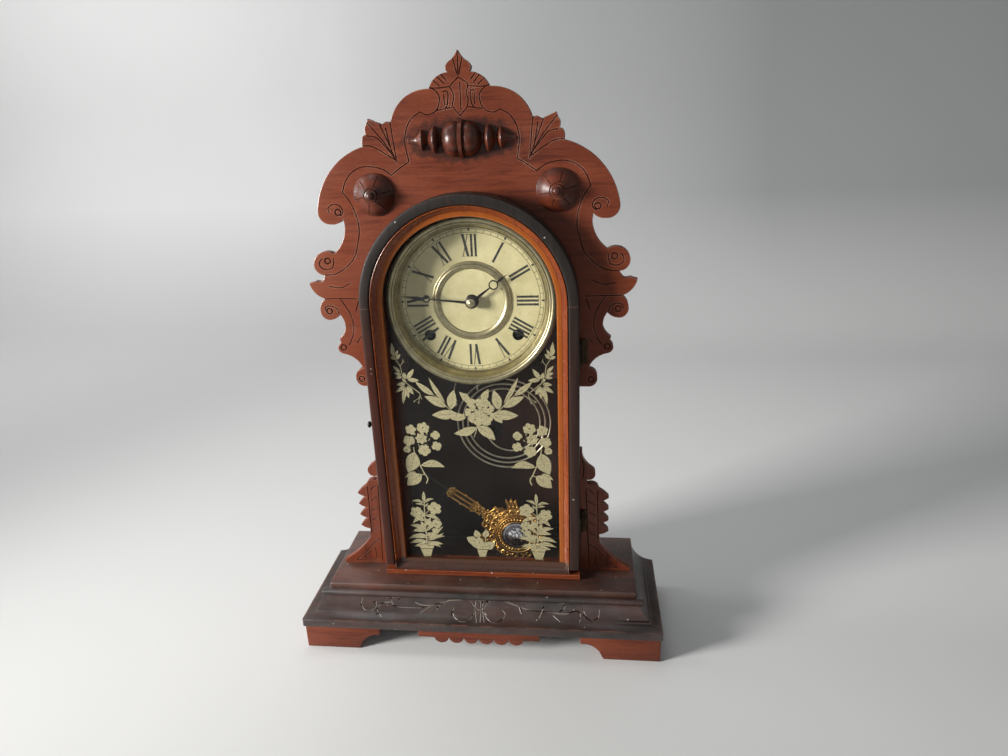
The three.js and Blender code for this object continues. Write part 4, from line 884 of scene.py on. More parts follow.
# ---------- carved front ----------
CREST_EDGE = [
    [0, 559], [5.6, 551.6, -0.1], [10.7, 546.8, 0.2], [9.2, 542.2, 0.3],
    [12.5, 541.8], [25.7, 530.3, 0.26],
    [28.8, 530.2], [60.8, 505.2, 0.33],
    [64.8, 505.6], [69.3, 503.2], [73.6, 505.2, 0.1], [81, 508.4], [84.2, 501.2, -0.1],
    [83.6, 495.6, 0.1], [86.8, 493.8, 0.2], [87.4, 486, 0.2],
    [134.8, 433, 0.3], [123.4, 419.9, 0.5], [112, 424.2, 0.25],
    [111.2, 419], [124.4, 393.3, -0.23],
    [144.7, 384.2, 0.56], [135.4, 373.6, 0.42],
    [139.8, 367.3, -0.2], [145.2, 368, -0.1], [151.3, 366.2, -0.1], [137.9, 351.3, 0.28],
    [143.8, 341.3, 0.25], [135.4, 330.7, 0.48], [124.9, 335.7, 0.2],
    [121.2, 323.5, -0.18], [128.6, 312.5, -0.2], [127.6, 308.4, -0.15],
    [130.8, 301.8, 0.3], [125.8, 297, 0.3], [108.2, 282.2, -0.28],
    [116.4, 273.4, 0.42], [107.5, 264, 0.5],
]

# Lines cut on the left half of the crest, as (x, z); each one is repeated on the right.
CREST_LINES = [
    [(-33.9, 512.2), (-42, 507.2), (-47, 499.8), (-49.3, 491), (-49.2, 484), (-47.2, 472.2)],
    [(-47.2, 472.2), (-56.8, 466.3), (-63.8, 461.3)],
    [(-63.8, 461.3), (-71, 466.4), (-81, 468.9), (-91.1, 468.6), (-100.8, 463.5), (-106.5, 456),
     (-109.7, 447.9)],
    [(-109.7, 447.9), (-105.2, 442), (-101.5, 434.5), (-98.5, 424), (-97.8, 414), (-99.5, 406),
     (-103.8, 391.8), (-109.9, 384.3), (-117.4, 378.3), (-125.7, 374.6), (-135.1, 373.8)],
    [(-25.2, 531.1), (-21.1, 529.2), (-18.1, 526), (-16.8, 522.1), (-18.6, 515.5), (-22.4, 511.2),
     (-28.3, 509.7), (-32.4, 511.1), (-33.9, 512.2)],
    [(-57.8, 471.6), (-59.4, 486.4), (-61.1, 504.7)], [(-58.6, 473.5), (-64, 488), (-70.3, 503.2)],
    [(-58.9, 473.9), (-68, 489), (-81.3, 505.4)], [(-59.5, 474.1), (-77.4, 485.2), (-87.8, 486.5)],
    [(-69.8, 502.3), (-66.5, 505.8), (-61.7, 505)], [(-65.4, 500.3), (-61.9, 481)],
    [(-82.4, 494.6), (-73.7, 492.4), (-62.1, 479.2)], [(-3.9, 552.8), (-0.9, 540.8)],
    [(-22.1, 536.9), (-16.2, 532)], [(-18.5, 539.8), (-12.3, 533.5)], [(-15, 541.4), (-10.2, 536)],
    [(-24.8, 530.6), (-16.3, 530.3), (-7.3, 531.3)],
    [(-13.6, 527.2), (-10.8, 527.8), (-9.4, 525.6), (-10.5, 516.9), (-12.6, 514.4)],
    [(-13.2, 524.9), (-12.7, 517)], [(-19.4, 512.9), (-12, 514), (-6.1, 515)],
    [(-123.6, 430.3), (-124.8, 434.2), (-121.3, 437.1), (-116.1, 437.4), (-112.3, 434.9), (-111.4, 430),
     (-114.2, 427.1)],
    [(-125.3, 389), (-125.4, 384.9), (-127, 380.8), (-131, 379), (-135.9, 379.8), (-138.9, 382.9),
     (-138.4, 386.5), (-135.7, 389.2)],
    [(-126, 336.8), (-127, 341), (-130.2, 343.6), (-134.3, 344.5), (-137.9, 343.3), (-139.3, 340)],
    [(-137.9, 351.3), (-122, 351.5), (-105.8, 351.2)], [(-132, 363.2), (-121, 361.8), (-111.6, 365.8)],
    [(-122.7, 350.4), (-116, 339.1), (-113.1, 329.1), (-113.1, 321.1), (-116.1, 312), (-119.8, 305.9)],
    [(-105.6, 348.8), (-109.1, 339)], [(-105.7, 315.5), (-111.6, 307.9)],
]
CREST_MIDDLE = [
    [(0.2, 557.4), (0.1, 539.5)],
    [(0, 538), (-7.3, 531.3), (-5.6, 527.2), (-4.6, 522), (-6, 515.9), (0, 507.8)],
    [(0, 538), (7.7, 532.7), (6, 526), (7.4, 521.1), (6.2, 514.7), (0, 507.8)], [(1, 533.8), (1, 513)],
]
SCROLL_EYES = [(115.9, 430.6), (130.9, 387.0), (134.8, 339.4), (125.2, 303.6), (110.5, 271.5)]


def crest_outline():
    arch = [on_circle(OPENING_HALF, math.pi / 2 * i / 24, 0, SPRING) for i in range(25)]
    right = outline(CREST_EDGE) + [at(CASE_HALF, CREST_FOOT), at(OPENING_HALF, CREST_FOOT), *arch]
    return right + mirrored(right)[1:-1]


def eye_cutter():
    """Round sinkings with a raised button, at the middle of each scroll."""
    bm = bmesh.new()
    for x, z in SCROLL_EYES:
        for side in (-1, 1):
            ring = turned([(1.5, -0.3), (2.6, 0.9), (3.7, -0.3), (1.5, -0.3)], 24)
            added(bm, placed(ring, side * x, 0, z))
    return bm


def make_crest():
    board = slab(crest_outline(), 0, FRONT_BOARD, 1.1)
    crest = piece(board, "carved_crest", "case", crest_walnut, ("crest_board",))
    paths = [flowing(points, 4) for points in CREST_LINES]
    paths += [mirrored(path) for path in paths] + [flowing(points, 4) for points in CREST_MIDDLE]
    cutter = added(grooves(paths, 1.2, 0.75), eye_cutter())
    bmesh.ops.recalc_face_normals(cutter, faces=cutter.faces)
    carved(crest, stored(cutter, "crest_cutter", groove_dirt_and_shade), flat=True)


SPINDLE_HALF = [
    (16, 0.0), (16, 1.5), (15.2, 1.7), (13.2, 1.9), (13.6, 2.9), (14.4, 4.5), (14.6, 6.2), (14.5, 7.5),
    (14, 9.6), (13, 11.5), (11.6, 13.4), (9.6, 15), (7.2, 16.4), (5.4, 17.2), (4.5, 18), (4.4, 18.6),
    (5.4, 19.2), (7.4, 20.2), (9.4, 21.2), (11, 22.4), (11.3, 23.3), (11, 24.2), (9.8, 25.4), (8, 26.8),
    (6, 28.2), (4.4, 29), (4.1, 29.6), (4.4, 30.2), (6.4, 31.8), (8.6, 33.4), (9, 34.1), (8.6, 34.8),
    (7.2, 36), (5.6, 37.2), (4.2, 39.4), (3.4, 41.6), (3.3, 42.4), (3, 43.2), (2.8, 44.8), (2.6, 46.6),
    (1.6, 47.3), (0, 47.6),
]
ROSETTE_ROWS = [
    (0, 0), (18.3, 0), (18.5, 0.6), (18.5, 1.5), (18.1, 2.2), (17.2, 2.6), (16.9, 3.2), (12, 6.7),
    (7.5, 10.1), (6.9, 10.5), (6.4, 10.2), (5.9, 10.2), (5.6, 10.8), (5.4, 11.8), (4.6, 12.3), (3.3, 12.4),
    (3, 12.7), (3.2, 13.4), (3.4, 14), (3.3, 14.8), (2.8, 15.6), (1.8, 16.3), (0, 16.6),
]
ROSETTE_CUT = [(7.6, 10.1), (12, 6.75), (16.6, 3.4)]


def make_spindle():
    rows = [(radius, -x) for radius, x in reversed(SPINDLE_HALF[1:])] + SPINDLE_HALF
    bm = moved(turned(rows, 96), Matrix.Rotation(math.pi / 2, 4, "Z"))
    placed(bm, 0, 1.5, SPINDLE_Z)
    bmesh.ops.recalc_face_normals(bm, faces=bm.faces)
    half = bmesh.ops.bisect_plane(bm, geom=everything(bm), plane_co=(0, 0, 0), plane_no=(0, 1, 0),
                                  clear_outer=True)
    rim = [g for g in half["geom_cut"] if isinstance(g, bmesh.types.BMEdge)]
    bmesh.ops.triangle_fill(bm, edges=rim, use_beauty=True, normal=(0, 1, 0))
    piece(bm, "turned_spindle", "case", ebonised_turned, ("crest_spindle",), crease=40)


def make_rosette(word, side):
    place = Matrix.Translation((side * ROSETTE_X, 0, ROSETTE_Z))
    bm = moved(turned([(radius, -out) for radius, out in ROSETTE_ROWS], 96), place)
    rosette = piece(bm, f"turned_rosette_{word}", "case", ebonised_turned, (f"rosette_{word}",),
                    crease=40)
    cutter = bmesh.new()
    for i in range(6):
        spoke = on_circle(1, TAU * i / 6 + 0.2)
        path = [place @ (spoke * radius + TO_FRONT * out) for radius, out in ROSETTE_CUT]
        away = (spoke * 0.58 + TO_FRONT * 0.81).normalized()
        added(cutter, grooves([path], 0.9, 0.7, lambda p, away=away: away))
    carved(rosette, stored(cutter, f"rosette_cutter_{word}", groove_dirt_and_shade), crease=40)


def bracket_outline():
    rows = [[98, 199], [102.4, 198], [106.2, 183.4, -0.2], [112.5, 177.5, -0.1], [106.3, 166, 0.9],
            [108, 160.6, -0.2], [117.4, 158.6, 0.3]]
    for tooth in range(4):
        z = 154 - 12.6 * tooth
        rows += [[119.5, z], [128.8, z - 8, 0.1], [119.5, z - 12.4, 0.15]]
    return outline(rows + [[120.2, 93.5], [151, 64.6, -0.12], [150, 62, 0.4], [98, 62]])


BRACKET_LINES = [
    [(117.5, 153), (117.7, 136.4), (118.3, 120), (118.2, 99)],
    [(106.2, 155.5), (107.2, 127.6), (108.3, 96.3), (109.6, 66)], [(107.8, 155.5), (113.6, 150.5)],
    [(108.5, 142), (115.2, 137.3)], [(108.9, 129.5), (116.2, 125.2)], [(108.9, 118.2), (116, 114.2)],
    [(109.3, 106.5), (116.2, 101.9)], [(110, 92), (116.6, 86.6)],
    [(138.2, 65), (126.9, 74.4), (116.4, 87.4)], [(138.2, 65), (126, 64.8), (112.4, 65)],
    [(129.5, 68.2), (122, 75.4), (116.3, 81.9), (115.8, 68.6), (129.5, 68.2)],
    [(102.4, 189), (104, 176), (102.6, 166)],
]


def make_bracket(word, side):
    path, lines = bracket_outline(), [[at(x, z) for x, z in row] for row in BRACKET_LINES]
    if side < 0:
        path, lines = mirrored(path), [mirrored(row) for row in lines]
    bracket = piece(slab(path, 0, FRONT_BOARD, 1.0), f"carved_bracket_{word}", "case", walnut,
                    (f"lower_bracket_{word}",))
    carved(bracket, stored(grooves(lines, 1.2, 0.75), f"bracket_cutter_{word}", groove_dirt_and_shade), flat=True)


make_crest()
make_spindle()
for name, way in SIDES.items():
    make_rosette(name, way)
    make_bracket(name, way)
    dressed(f"front_stile_{name}", "case", walnut, 0.8)
    dressed(f"case_side_{name}", "case", walnut, 0.8)
    dressed(f"dial_batten_{name}", "case", case_wood, 0.8)
dressed("case_top", "case", walnut_long, 0.8)
dressed("back_board", "case", case_wood, 0.6)


# ---------- door ----------
def arch_stations(half, low, step=48):
    """Round an arched opening from its bottom left corner, with the section's x running inwards."""
    made = [station(at(-half, low), at(1, 1), TO_BACK)]
    for i in range(step + 1):
        spoke = at(-math.cos(math.pi * i / step), math.sin(math.pi * i / step))
        made.append(station(at(0, SPRING) + spoke * half, -spoke, TO_BACK))
    return made + [station(at(half, low), at(-1, 1), TO_BACK)]


# The door's band, as (distance in from its outer edge, y).
BAND_SECTION = [
    (0, -0.4), (0, -17.6), (0.3, -18.8), (1.1, -19.7), (2.2, -20), (8.2, -20), (9, -19.8), (9.5, -19.3),
    (9.7, -18.6), (9.7, -10.5), (15.7, -10.5), (15.7, -0.4),
]
MOULDING_SECTION = [
    (0, -10.8), (0, -18.2), (0.3, -19.1), (0.8, -19.4), (1.2, -18.9), (1.5, -17.8), (2.2, -17), (3, -16.3),
    (3.8, -15.7), (4.5, -15.1), (5.1, -14.5), (5.5, -14.1), (5.9, -14.3), (6.4, -14.1), (7.9, -13.9),
    (9.3, -13.8), (9.9, -13.5), (10.2, -13), (10.3, -12.4), (10.3, -10.8),
]
RAIL_SECTION = [
    (-0.4, 0), (-0.4, 11.6), (-10.5, 11.6), (-10.5, 5.6), (-19.6, 5.6), (-20, 5.2), (-20, 1), (-19.4, 0.2),
    (-18.8, 0),
]
KNOB_ROWS = [
    (0, 0), (2.2, 0), (2.3, 0.3), (1.7, 0.7), (1.5, 1.6), (2, 2.2), (2.9, 2.7), (3.3, 3.3), (3.2, 4.1),
    (2.5, 4.8), (1.4, 5.3), (0, 5.5),
]


def make_band():
    for word, side in SIDES.items():
        ends = [station(at(side * DOOR_HALF, z), at(-side, 0), TO_BACK) for z in (73.9, SPRING - 0.15)]
        piece(sweep(bmesh.new(), BAND_SECTION, ends), f"door_band_{word}", "door", band_wood,
              (f"door_stile_{word}",))
    crown = sweep(bmesh.new(), BAND_SECTION, arch_stations(DOOR_HALF, 0)[1:-1])
    crown = piece(crown, "door_band_arch", "door", band_wood, ("door_arch",))
    seam = [Vector((x, -20, z)) for x, z in ((-10.6, 434), (-11.6, 447))]
    carved(crown, stored(grooves([seam], 0.5, 0.5), "seam_cutter", groove_dirt_and_shade))
    rail = bmesh.new()
    sweep(rail, RAIL_SECTION, [station(at(x, DOOR_LOW), TO_BACK, UP) for x in (-DOOR_HALF, DOOR_HALF)])
    piece(rail, "door_bottom_rail", "door", rail_wood, ("door_rail",))


def make_moulding():
    bm = sweep(bmesh.new(), MOULDING_SECTION, arch_stations(MOULDING_HALF, MOULDING_LOW, 96), closed=True)
    piece(bm, "door_moulding_run", "door", moulding_wood, ("door_moulding",))


def make_glass():
    half, foot = MOULDING_HALF - 6, 74.2
    arch = [on_circle(half, math.pi * i / 64, 0, SPRING) for i in range(65)]
    pane = slab([at(half, foot), *arch, at(-half, foot)], GLASS_FRONT, GLASS_BACK, 0.2)
    piece(pane, "door_pane", "door", pane_glass, ("door_glass",))


def screw_head(radius, thick):
    """A raised screw head, with no slot cut, about -Y at the origin."""
    rows = [(0, 0), (radius, 0), (radius, -thick * 0.5), (radius * 0.7, -thick * 0.9), (0, -thick)]
    return turned(rows, 20)


def make_hinges():
    for word in ("upper", "lower"):
        for body in ("case", "door"):
            dressed(f"hinge_{word}_{body}_leaf", body, hinge_brass, 0.25)


def make_knob():
    turn = Matrix.Translation((-DOOR_HALF, -13, 229)) @ Matrix.Rotation(math.pi / 2, 4, "Z")
    piece(moved(turned(KNOB_ROWS, 40), turn), "door_pull", "door", iron, ("door_knob",), crease=50)


make_band()
make_moulding()
make_glass()
make_hinges()
make_knob()


# ---------- dial ----------
class Print:
    """Flat shapes a hair thick, laid on a face at a depth Y and stored as one piece. Each one lies a little
    deeper than the last, so that none shares its face with another."""

    def __init__(self, front, thick=0.1):
        self.bm = bmesh.new()
        self.front = front
        self.thick = thick
        self.count = 0

    def shape(self, points, place=None):
        front = self.front + 0.0004 * (self.count % 60)
        self.count += 1
        path = [at(p[0], p[-1]) for p in points]
        flat = slab(path, front, front + self.thick, 0)
        if place:
            moved(flat, place)
        added(self.bm, flat)

    def ring(self, radius, width, height):
        low, high = radius - width / 2, radius + width / 2
        front, back = self.front, self.front + self.thick
        band = turned([(low, front), (high, front), (high, back), (low, back), (low, front)], 120)
        added(self.bm, placed(band, 0, 0, height))

    def store(self, name, body, slot, material):
        return piece(self.bm, name, body, material, crease=60)


def stroke(a, b, thin):
    """A straight bar between two points, thin millimetres wide."""
    start, end = at(a[0], a[1]), at(b[0], b[1])
    side = (end - start).normalized().cross(TO_BACK) * thin / 2
    return [start - side, end - side, end + side, start + side]


NUMERAL_HIGH = 20.4
NUMERAL_RADIUS = 52.1
TRACK = (67.1, 63.9)     # radii of the minute track's rings


def numeral(text):
    """Bars of a Roman numeral about its middle, upright, with fine serifs."""
    wide = {"I": 3.7, "V": 7.8, "X": 7.6}
    top, low = NUMERAL_HIGH / 2, -NUMERAL_HIGH / 2
    x = -sum(wide[letter] for letter in text) / 2
    bars = []
    for letter in text:
        left, right, middle = x + 0.9, x + wide[letter] - 0.9, x + wide[letter] / 2
        if letter == "I":
            bars.append(stroke((middle, low), (middle, top), 2.1))
            bars += [stroke((middle - 1.6, z), (middle + 1.6, z), 0.45) for z in (low + 0.2, top - 0.2)]
        elif letter == "V":
            bars.append(stroke((left + 0.6, top), (middle + 0.3, low), 2.4))
            bars.append(stroke((right - 0.4, top), (middle + 0.3, low), 0.7))
            bars += [stroke((c - 1.7, top - 0.2), (c + 1.7, top - 0.2), 0.45)
                     for c in (left + 0.6, right - 0.4)]
        else:
            bars.append(stroke((left + 0.6, top), (right - 0.6, low), 2.4))
            bars.append(stroke((right - 0.5, top), (left + 0.5, low), 0.7))
            for c in (left + 0.6, right - 0.6):
                bars += [stroke((c - 1.6, z), (c + 1.6, z), 0.45) for z in (top - 0.2, low + 0.2)]
        x += wide[letter]
    return bars


def clockwise(turn, height=DIAL_Z):
    """From a frame with +Z outwards from the dial's centre to its place, turn of the way round from XII."""
    return Matrix.Translation((0, 0, height)) @ Matrix.Rotation(TAU * turn, 4, "Y")


def make_dial_face():
    pan = [on_circle(PAN_RADIUS, TAU * i / 160, 0, DIAL_Z) for i in range(160)]
    holes = [[on_circle(radius, TAU * i / 40, x, z) for i in range(40)]
             for x, z, radius in (*WINDING_HOLES, (0, DIAL_Z, 6.4))]
    face = slab(pan, DIAL_Y, DIAL_Y + 1, 0, holes)
    piece(face, "dial_face", "case", dial_cream, ("dial_pan",))


def make_dial_print():
    ink, track = Print(DIAL_Y - 0.06), Print(DIAL_Y - 0.06)
    for radius in TRACK:
        track.ring(radius, 0.45, DIAL_Z)
    for minute in range(60):
        if minute % 5:
            track.shape(stroke((0, TRACK[1]), (0, TRACK[0]), 0.5), clockwise(minute / 60))
        else:
            ink.shape(stroke((0, 65.1), (0, 67.8), 1.7), clockwise(minute / 60))
    names = ["XII", "I", "II", "III", "IIII", "V", "VI", "VII", "VIII", "IX", "X", "XI"]
    for hour, text in enumerate(names):
        for bar in numeral(text):
            ink.shape(bar, clockwise(hour / 12) @ Matrix.Translation((0, 0, NUMERAL_RADIUS)))
    ink.store("dial_numerals", "case", "dial_cream", dial_ink)
    track.store("dial_minute_track", "case", "dial_cream", track_ink)


BEZEL_ROWS = [
    (80.2, 11), (68, 11), (68, 9.8), (68.3, 9.3), (68.8, 9.2), (69.2, 9.6), (69.6, 8.4), (70.4, 6),
    (71.2, 4), (71.7, 3), (72, 3.1), (72.3, 2.6), (72.5, 1.2), (72.8, 0.3), (73.3, -0.2), (73.9, -0.3),
    (74.3, 0), (74.6, 0.1), (74.9, -0.3), (75.5, -0.8), (76.4, -1), (77.6, -0.9), (78.6, -0.5),
    (79.3, 0.1), (79.8, 1), (80.2, 2.4), (80.2, 11),
]
RING_ROWS = [
    (37.8, 11), (30.2, 11), (30.4, 10.6), (31.2, 9.9), (32.2, 9.4), (33.2, 9.1), (34.2, 9), (34.8, 9.3),
    (35.2, 9.8), (35.5, 10), (36.2, 9.8), (37, 9.9), (37.6, 10.4), (37.8, 11),
]
COLLET_ROWS = [
    (0, 0.9), (1.2, 0.9), (1.7, 1.2), (1.8, 1.7), (3.2, 2), (3.9, 2.3), (3.9, 2.7), (2.1, 2.8), (2.1, 3.9),
    (0, 3.9),
]
PIN_ROWS = [(0, -5), (0.35, -5), (0.55, 4.4), (0, 4.4)]


def hand(reach, loop, length, half, boss, bore, front):
    """A hand along +Z: a tapering blade, an open ring and a long point, from a round boss."""
    back = front + HAND_THICK
    blade = [at(half, boss * 0.6), at(half * 0.75, reach * 0.5), at(0.55, reach - loop + 0.2)]
    tip = [at(0.7, reach + loop - 0.3), at(1.5, reach + loop + 4.5), at(0.5, length - 4), at(0, length)]
    bm = slab(blade + mirrored(blade), front, back, 0.2)
    added(bm, slab(tip + mirrored(tip)[1:], front, back, 0.2))
    rows = [(loop, front + 0.1), (loop, back), (loop - 1.2, back), (loop - 1.2, front + 0.1),
            (loop - 0.9, front), (loop - 0.3, front), (loop, front + 0.1)]
    added(bm, placed(turned(rows, 40), 0, 0, reach))
    rows = [(bore, back), (bore, front - 0.3), (boss * 0.5, front - 0.4), (boss * 0.85, front - 0.2),
            (boss, front + 0.2), (boss, back), (bore, back)]
    return added(bm, turned(rows, 48))


def make_hands():
    minute = hand(reach=42, loop=3.6, length=66.6, half=1.2, boss=5.4, bore=2.2, front=3)
    moved(minute, clockwise(HANDS_AT % 1))
    piece(minute, "long_hand", "minute_work", dark_steel, ("minute_hand",))
    pin = moved(turned(PIN_ROWS, 12), Matrix.Rotation(math.pi / 2, 4, "X"))
    collet = added(turned(COLLET_ROWS, 40), placed(pin, -0.5, 1.5, -1.5))
    piece(placed(collet, 0, 0, DIAL_Z), "hand_collet", "minute_work", brass, crease=40)
    hour = hand(reach=26.6, loop=4.6, length=43.5, half=1.5, boss=6.2, bore=4.9, front=6)
    moved(hour, clockwise(HANDS_AT / 12))
    piece(hour, "short_hand", "hour_work", dark_steel, ("hour_hand",))


def make_dial():
    make_dial_face()
    make_dial_print()
    for name, node, rows, steps in (("dial_bezel_turned", "dial_bezel", BEZEL_ROWS, 160),
                                    ("dial_ring_turned", "dial_centre_ring", RING_ROWS, 128)):
        piece(placed(turned(rows, steps), 0, 0, DIAL_Z), name, "case", brass, (node,), crease=40)
    make_hands()


make_dial()


# ---------- stencilled flowers on the back of the glass ----------
# Leaves, as rows of the x and z of the base and of the tip, the width and the bend.
SPRAY_LEAVES = [
    (-74.5, 298, -75.6, 310.4, 3.6), (-73.6, 297, -77.6, 303.5, 2.6), (-73.4, 297, -70, 303.4, 2.6),
    (-73, 294.6, -78, 296.6, 3), (-72.8, 294.2, -68, 299.4, 3), (-69.6, 281, -76, 287.4, 3),
    (-68.6, 278.6, -75.8, 280.6, 3.2), (-68, 276.6, -75, 275.6, 3), (-63.6, 274.4, -56.4, 284.6, 4.2),
    (-63.2, 273.8, -52, 273, 4), (-64.6, 274.6, -66.4, 281, 3.2), (-65.6, 269.6, -74.4, 268.8, 3.8),
    (-66.4, 267.2, -75.6, 260.8, 3.8), (-66.2, 266.4, -69.6, 249, 4), (-65.4, 266.2, -63.4, 254.8, 3.8),
    (-64, 267.4, -58.6, 258.8, 4), (-64.8, 271, -68.4, 275, 2.6), (-57.4, 252.4, -59.4, 250.6, 1.2),
    (-54, 251.4, -54.4, 249, 1.2),
]
GARLAND_LEAVES = [
    (-38.8, 258, -56, 272, 5.6, 0.5), (-28.6, 250.4, -42.6, 276.1, 4.4, 0.9),
    (-28.2, 246, -47.9, 256.9, 8.2, -0.7), (-23.1, 243.6, -19.1, 263.5, 9.2, 0.5),
    (-18.1, 239.3, -41.9, 237.5, 9.8, 0.6),
]
ROSE_LEAVES = [
    (7.8, 250.4, 14.3, 264.2, 7, 0.7), (-4.6, 249.4, -13.9, 261.6, 6.2, -0.7),
    (-8.8, 235.6, -23.6, 233.4, 7.3, -0.7), (0.8, 224.6, -21.5, 217.9, 8.6, 1.4),
    (1.7, 226.2, 18.6, 211.6, 10.2, 1.2), (17.6, 238, 26.2, 229.8, 6.8, 0.7),
    (-3.2, 251.4, -8, 260.4, 3.2, 0.4),
]
CLUSTER_LEAVES = [
    (-62.8, 197.4, -71, 175.2, 14.4, 1.6), (-56.2, 182.8, -33.1, 181.6, 8, 3.2),
    (-57.4, 172.8, -72.6, 160.4, 12.6, -1.0), (-63, 175.6, -74.1, 169, 4.4, -0.7),
]
PLANT_LEAVES = [
    (-57.3, 141.9, -56.7, 154.1, 3.4, 0), (-57.2, 140.5, -46.7, 145.6, 2.8, 1.6),
    (-57.5, 140.5, -69.6, 142.4, 2.8, -1.8), (-57.3, 138.3, -66, 139.3, 2.1, -0.7),
    (-57.3, 136.1, -53, 140.6, 1.9, -0.2), (-57.8, 126, -70.8, 116.8, 4.3, -1.2),
    (-57.3, 126.4, -41.8, 121, 4, 1.6), (-57.7, 123.8, -60.4, 132.4, 2.6, 0.5),
    (-57.6, 122.3, -50.5, 111.5, 5.6, 0.9), (-57.4, 120.8, -65.4, 122.9, 3.4, 0.5),
    (-57.7, 109.8, -73.6, 114.5, 4.8, -1.4), (-57.4, 107.6, -71.3, 107.5, 4.4, -1.4),
    (-57.4, 99.8, -76.6, 98.3, 5, -2.8), (-57.5, 95.6, -75.9, 92.8, 4.6, -1.8),
    (-57.9, 91, -70.6, 89.6, 4.6, -0.9), (-57.4, 107.6, -47.5, 121.1, 3.6, -0.5),
    (-57.2, 102.4, -39.3, 113.7, 4, -1.6), (-57.2, 99.4, -38.1, 102.2, 4.4, 1.2),
    (-57.2, 96.6, -39, 106.4, 3, -0.9), (-57.5, 91.6, -40.6, 93, 4.8, 1.4),
    (-57.4, 95, -43.5, 89.4, 4, 0.9), (-57.3, 105.3, -48.3, 100.1, 5, 0.7),
    (-57.3, 112, -62.3, 119.4, 3.8, 0.5), (-57.3, 100.9, -65.2, 105.1, 4, 0.4),
    (-57.6, 94.1, -65.7, 97.5, 4, 0.7), (-57.3, 114, -51.6, 124, 3.6, -0.3),
]
LITTLE_LEAVES = [
    (-5.2, 97, -15.4, 101.4, 9, 0.6), (-2.6, 101.6, -6, 110.4, 7, 0.4), (3, 102, 5.6, 111.4, 6.6, -0.4),
    (1.4, 90.6, 13.6, 96.4, 9.6, -1.0), (-0.6, 88.4, -3.4, 102.8, 9.6, 0.4),
    (-1, 92, -11.6, 94.2, 5.4, 0.8),
]


def leaf(base, tip, wide, bend=0.0, toothed=0.0, gap=0.16):
    """The two halves of a leaf, parted along its vein."""
    start, along = at(base[0], base[1]), at(tip[0] - base[0], tip[1] - base[1])
    side = at(-along.z, along.x).normalized()
    halves = []
    for way in (1, -1):
        rim, vein = [], []
        for i in range(15):
            t = i / 14
            spine = start + along * t + side * bend * math.sin(math.pi * t)
            swell = math.sin(math.pi * t ** 0.85) ** 0.9 * wide / 2
            swell *= 1 + toothed * (0.5 - (t * 6) % 1) if 0.1 < t < 0.95 else 1
            rim.append(spine + side * way * max(swell, gap * 0.5))
            vein.append(spine + side * way * gap * (1 - t) * min(1, t * 8))
        halves.append(rim + vein[::-1])
    return halves


def leaves(rows, toothed=0.0, gap=0.16):
    shapes = []
    for x, z, tip_x, tip_z, wide, *bend in rows:
        shapes += leaf((x, z), (tip_x, tip_z), wide, *bend, toothed=toothed, gap=gap)
    return shapes


def blossom(centre, radius, petals=5, turn=0.0):
    """Round petals that run together, about a small open eye."""
    shapes = []
    for petal in range(petals):
        aim = turn + TAU * petal / petals + chance.uniform(-0.14, 0.14)
        out = on_circle(1, aim)
        side = at(-out.z, out.x)
        long, wide = radius * chance.uniform(0.43, 0.5), radius * chance.uniform(1.9, 2.4) / petals
        middle = at(centre[0], centre[1]) + out * (radius - long)
        path = []
        for i in range(16):
            angle = TAU * i / 16
            notch = math.exp(-(((angle + math.pi) % TAU - math.pi) * 3) ** 2)
            reach = chance.uniform(0.92, 1.05) - 0.14 * notch
            path.append(middle + (out * math.cos(angle) * long + side * math.sin(angle) * wide) * reach)
        shapes.append(path)
    return shapes


def ribbon(points, start=0.5, end=0.5):
    """A stem that tapers from its start to its end."""
    path = flowing(points, 4) if len(points) > 2 else [at(x, z) for x, z in points]
    left, right = [], []
    for i, place in enumerate(path):
        along = (path[min(i + 1, len(path) - 1)] - path[max(i - 1, 0)]).normalized()
        side = at(-along.z, along.x) * (start + (end - start) * i / (len(path) - 1)) / 2
        left.append(place + side)
        right.append(place - side)
    return left + right[::-1]


def ribbons(rows):
    """A ribbon for each row of start width, end width and points."""
    return [ribbon(points, start, end) for start, end, points in rows]


SPRAY_STEMS = [
    (0.5, 0.7, [(-74.6, 298), (-72.9, 293.6), (-69.3, 287.5), (-67.7, 278.4), (-64.8, 271), (-61, 267.3),
                (-52.7, 260.5)]),
    (0.5, 0.4, [(-69.3, 287.5), (-66.6, 291), (-65.8, 294.4)]),
    (0.4, 0.4, [(-66.2, 292.6), (-64.6, 291)]),
    (0.6, 0.4, [(-52.7, 260.5), (-52.1, 257.4), (-54.5, 254.4), (-57.5, 252.4)]),
    (0.5, 0.4, [(-52.3, 257.4), (-54, 251.2)]),
    (0.5, 0.4, [(-52.3, 258.1), (-50.8, 253.7)]),
]
GARLAND_STEM = [(-38.8, 258), (-33.1, 253.2), (-28, 247.4), (-22.8, 242.2), (-16.9, 239.3), (-9.7, 237.8)]
ROSE = (5.6, 241)
ROSE_RADIUS = 15.2
ROSE_RINGS = [(9, 0.68, 1.0, 0.3), (7, 0.42, 0.72, 0.0), (5, 0.2, 0.44, 0.5)]   # petals, in, out and turn
CLUSTER = (-54.5, 212.4)
CLUSTER_BLOSSOMS = [
    (-64.4, 221.8, 5.8, 5), (-52, 223.6, 6.6, 6), (-40.5, 216.2, 4.9, 4), (-39.9, 204.4, 5.3, 4),
    (-52.3, 199.6, 6.6, 5), (-67, 209.8, 6.2, 5), (-69.8, 200.6, 3.9, 3),
]
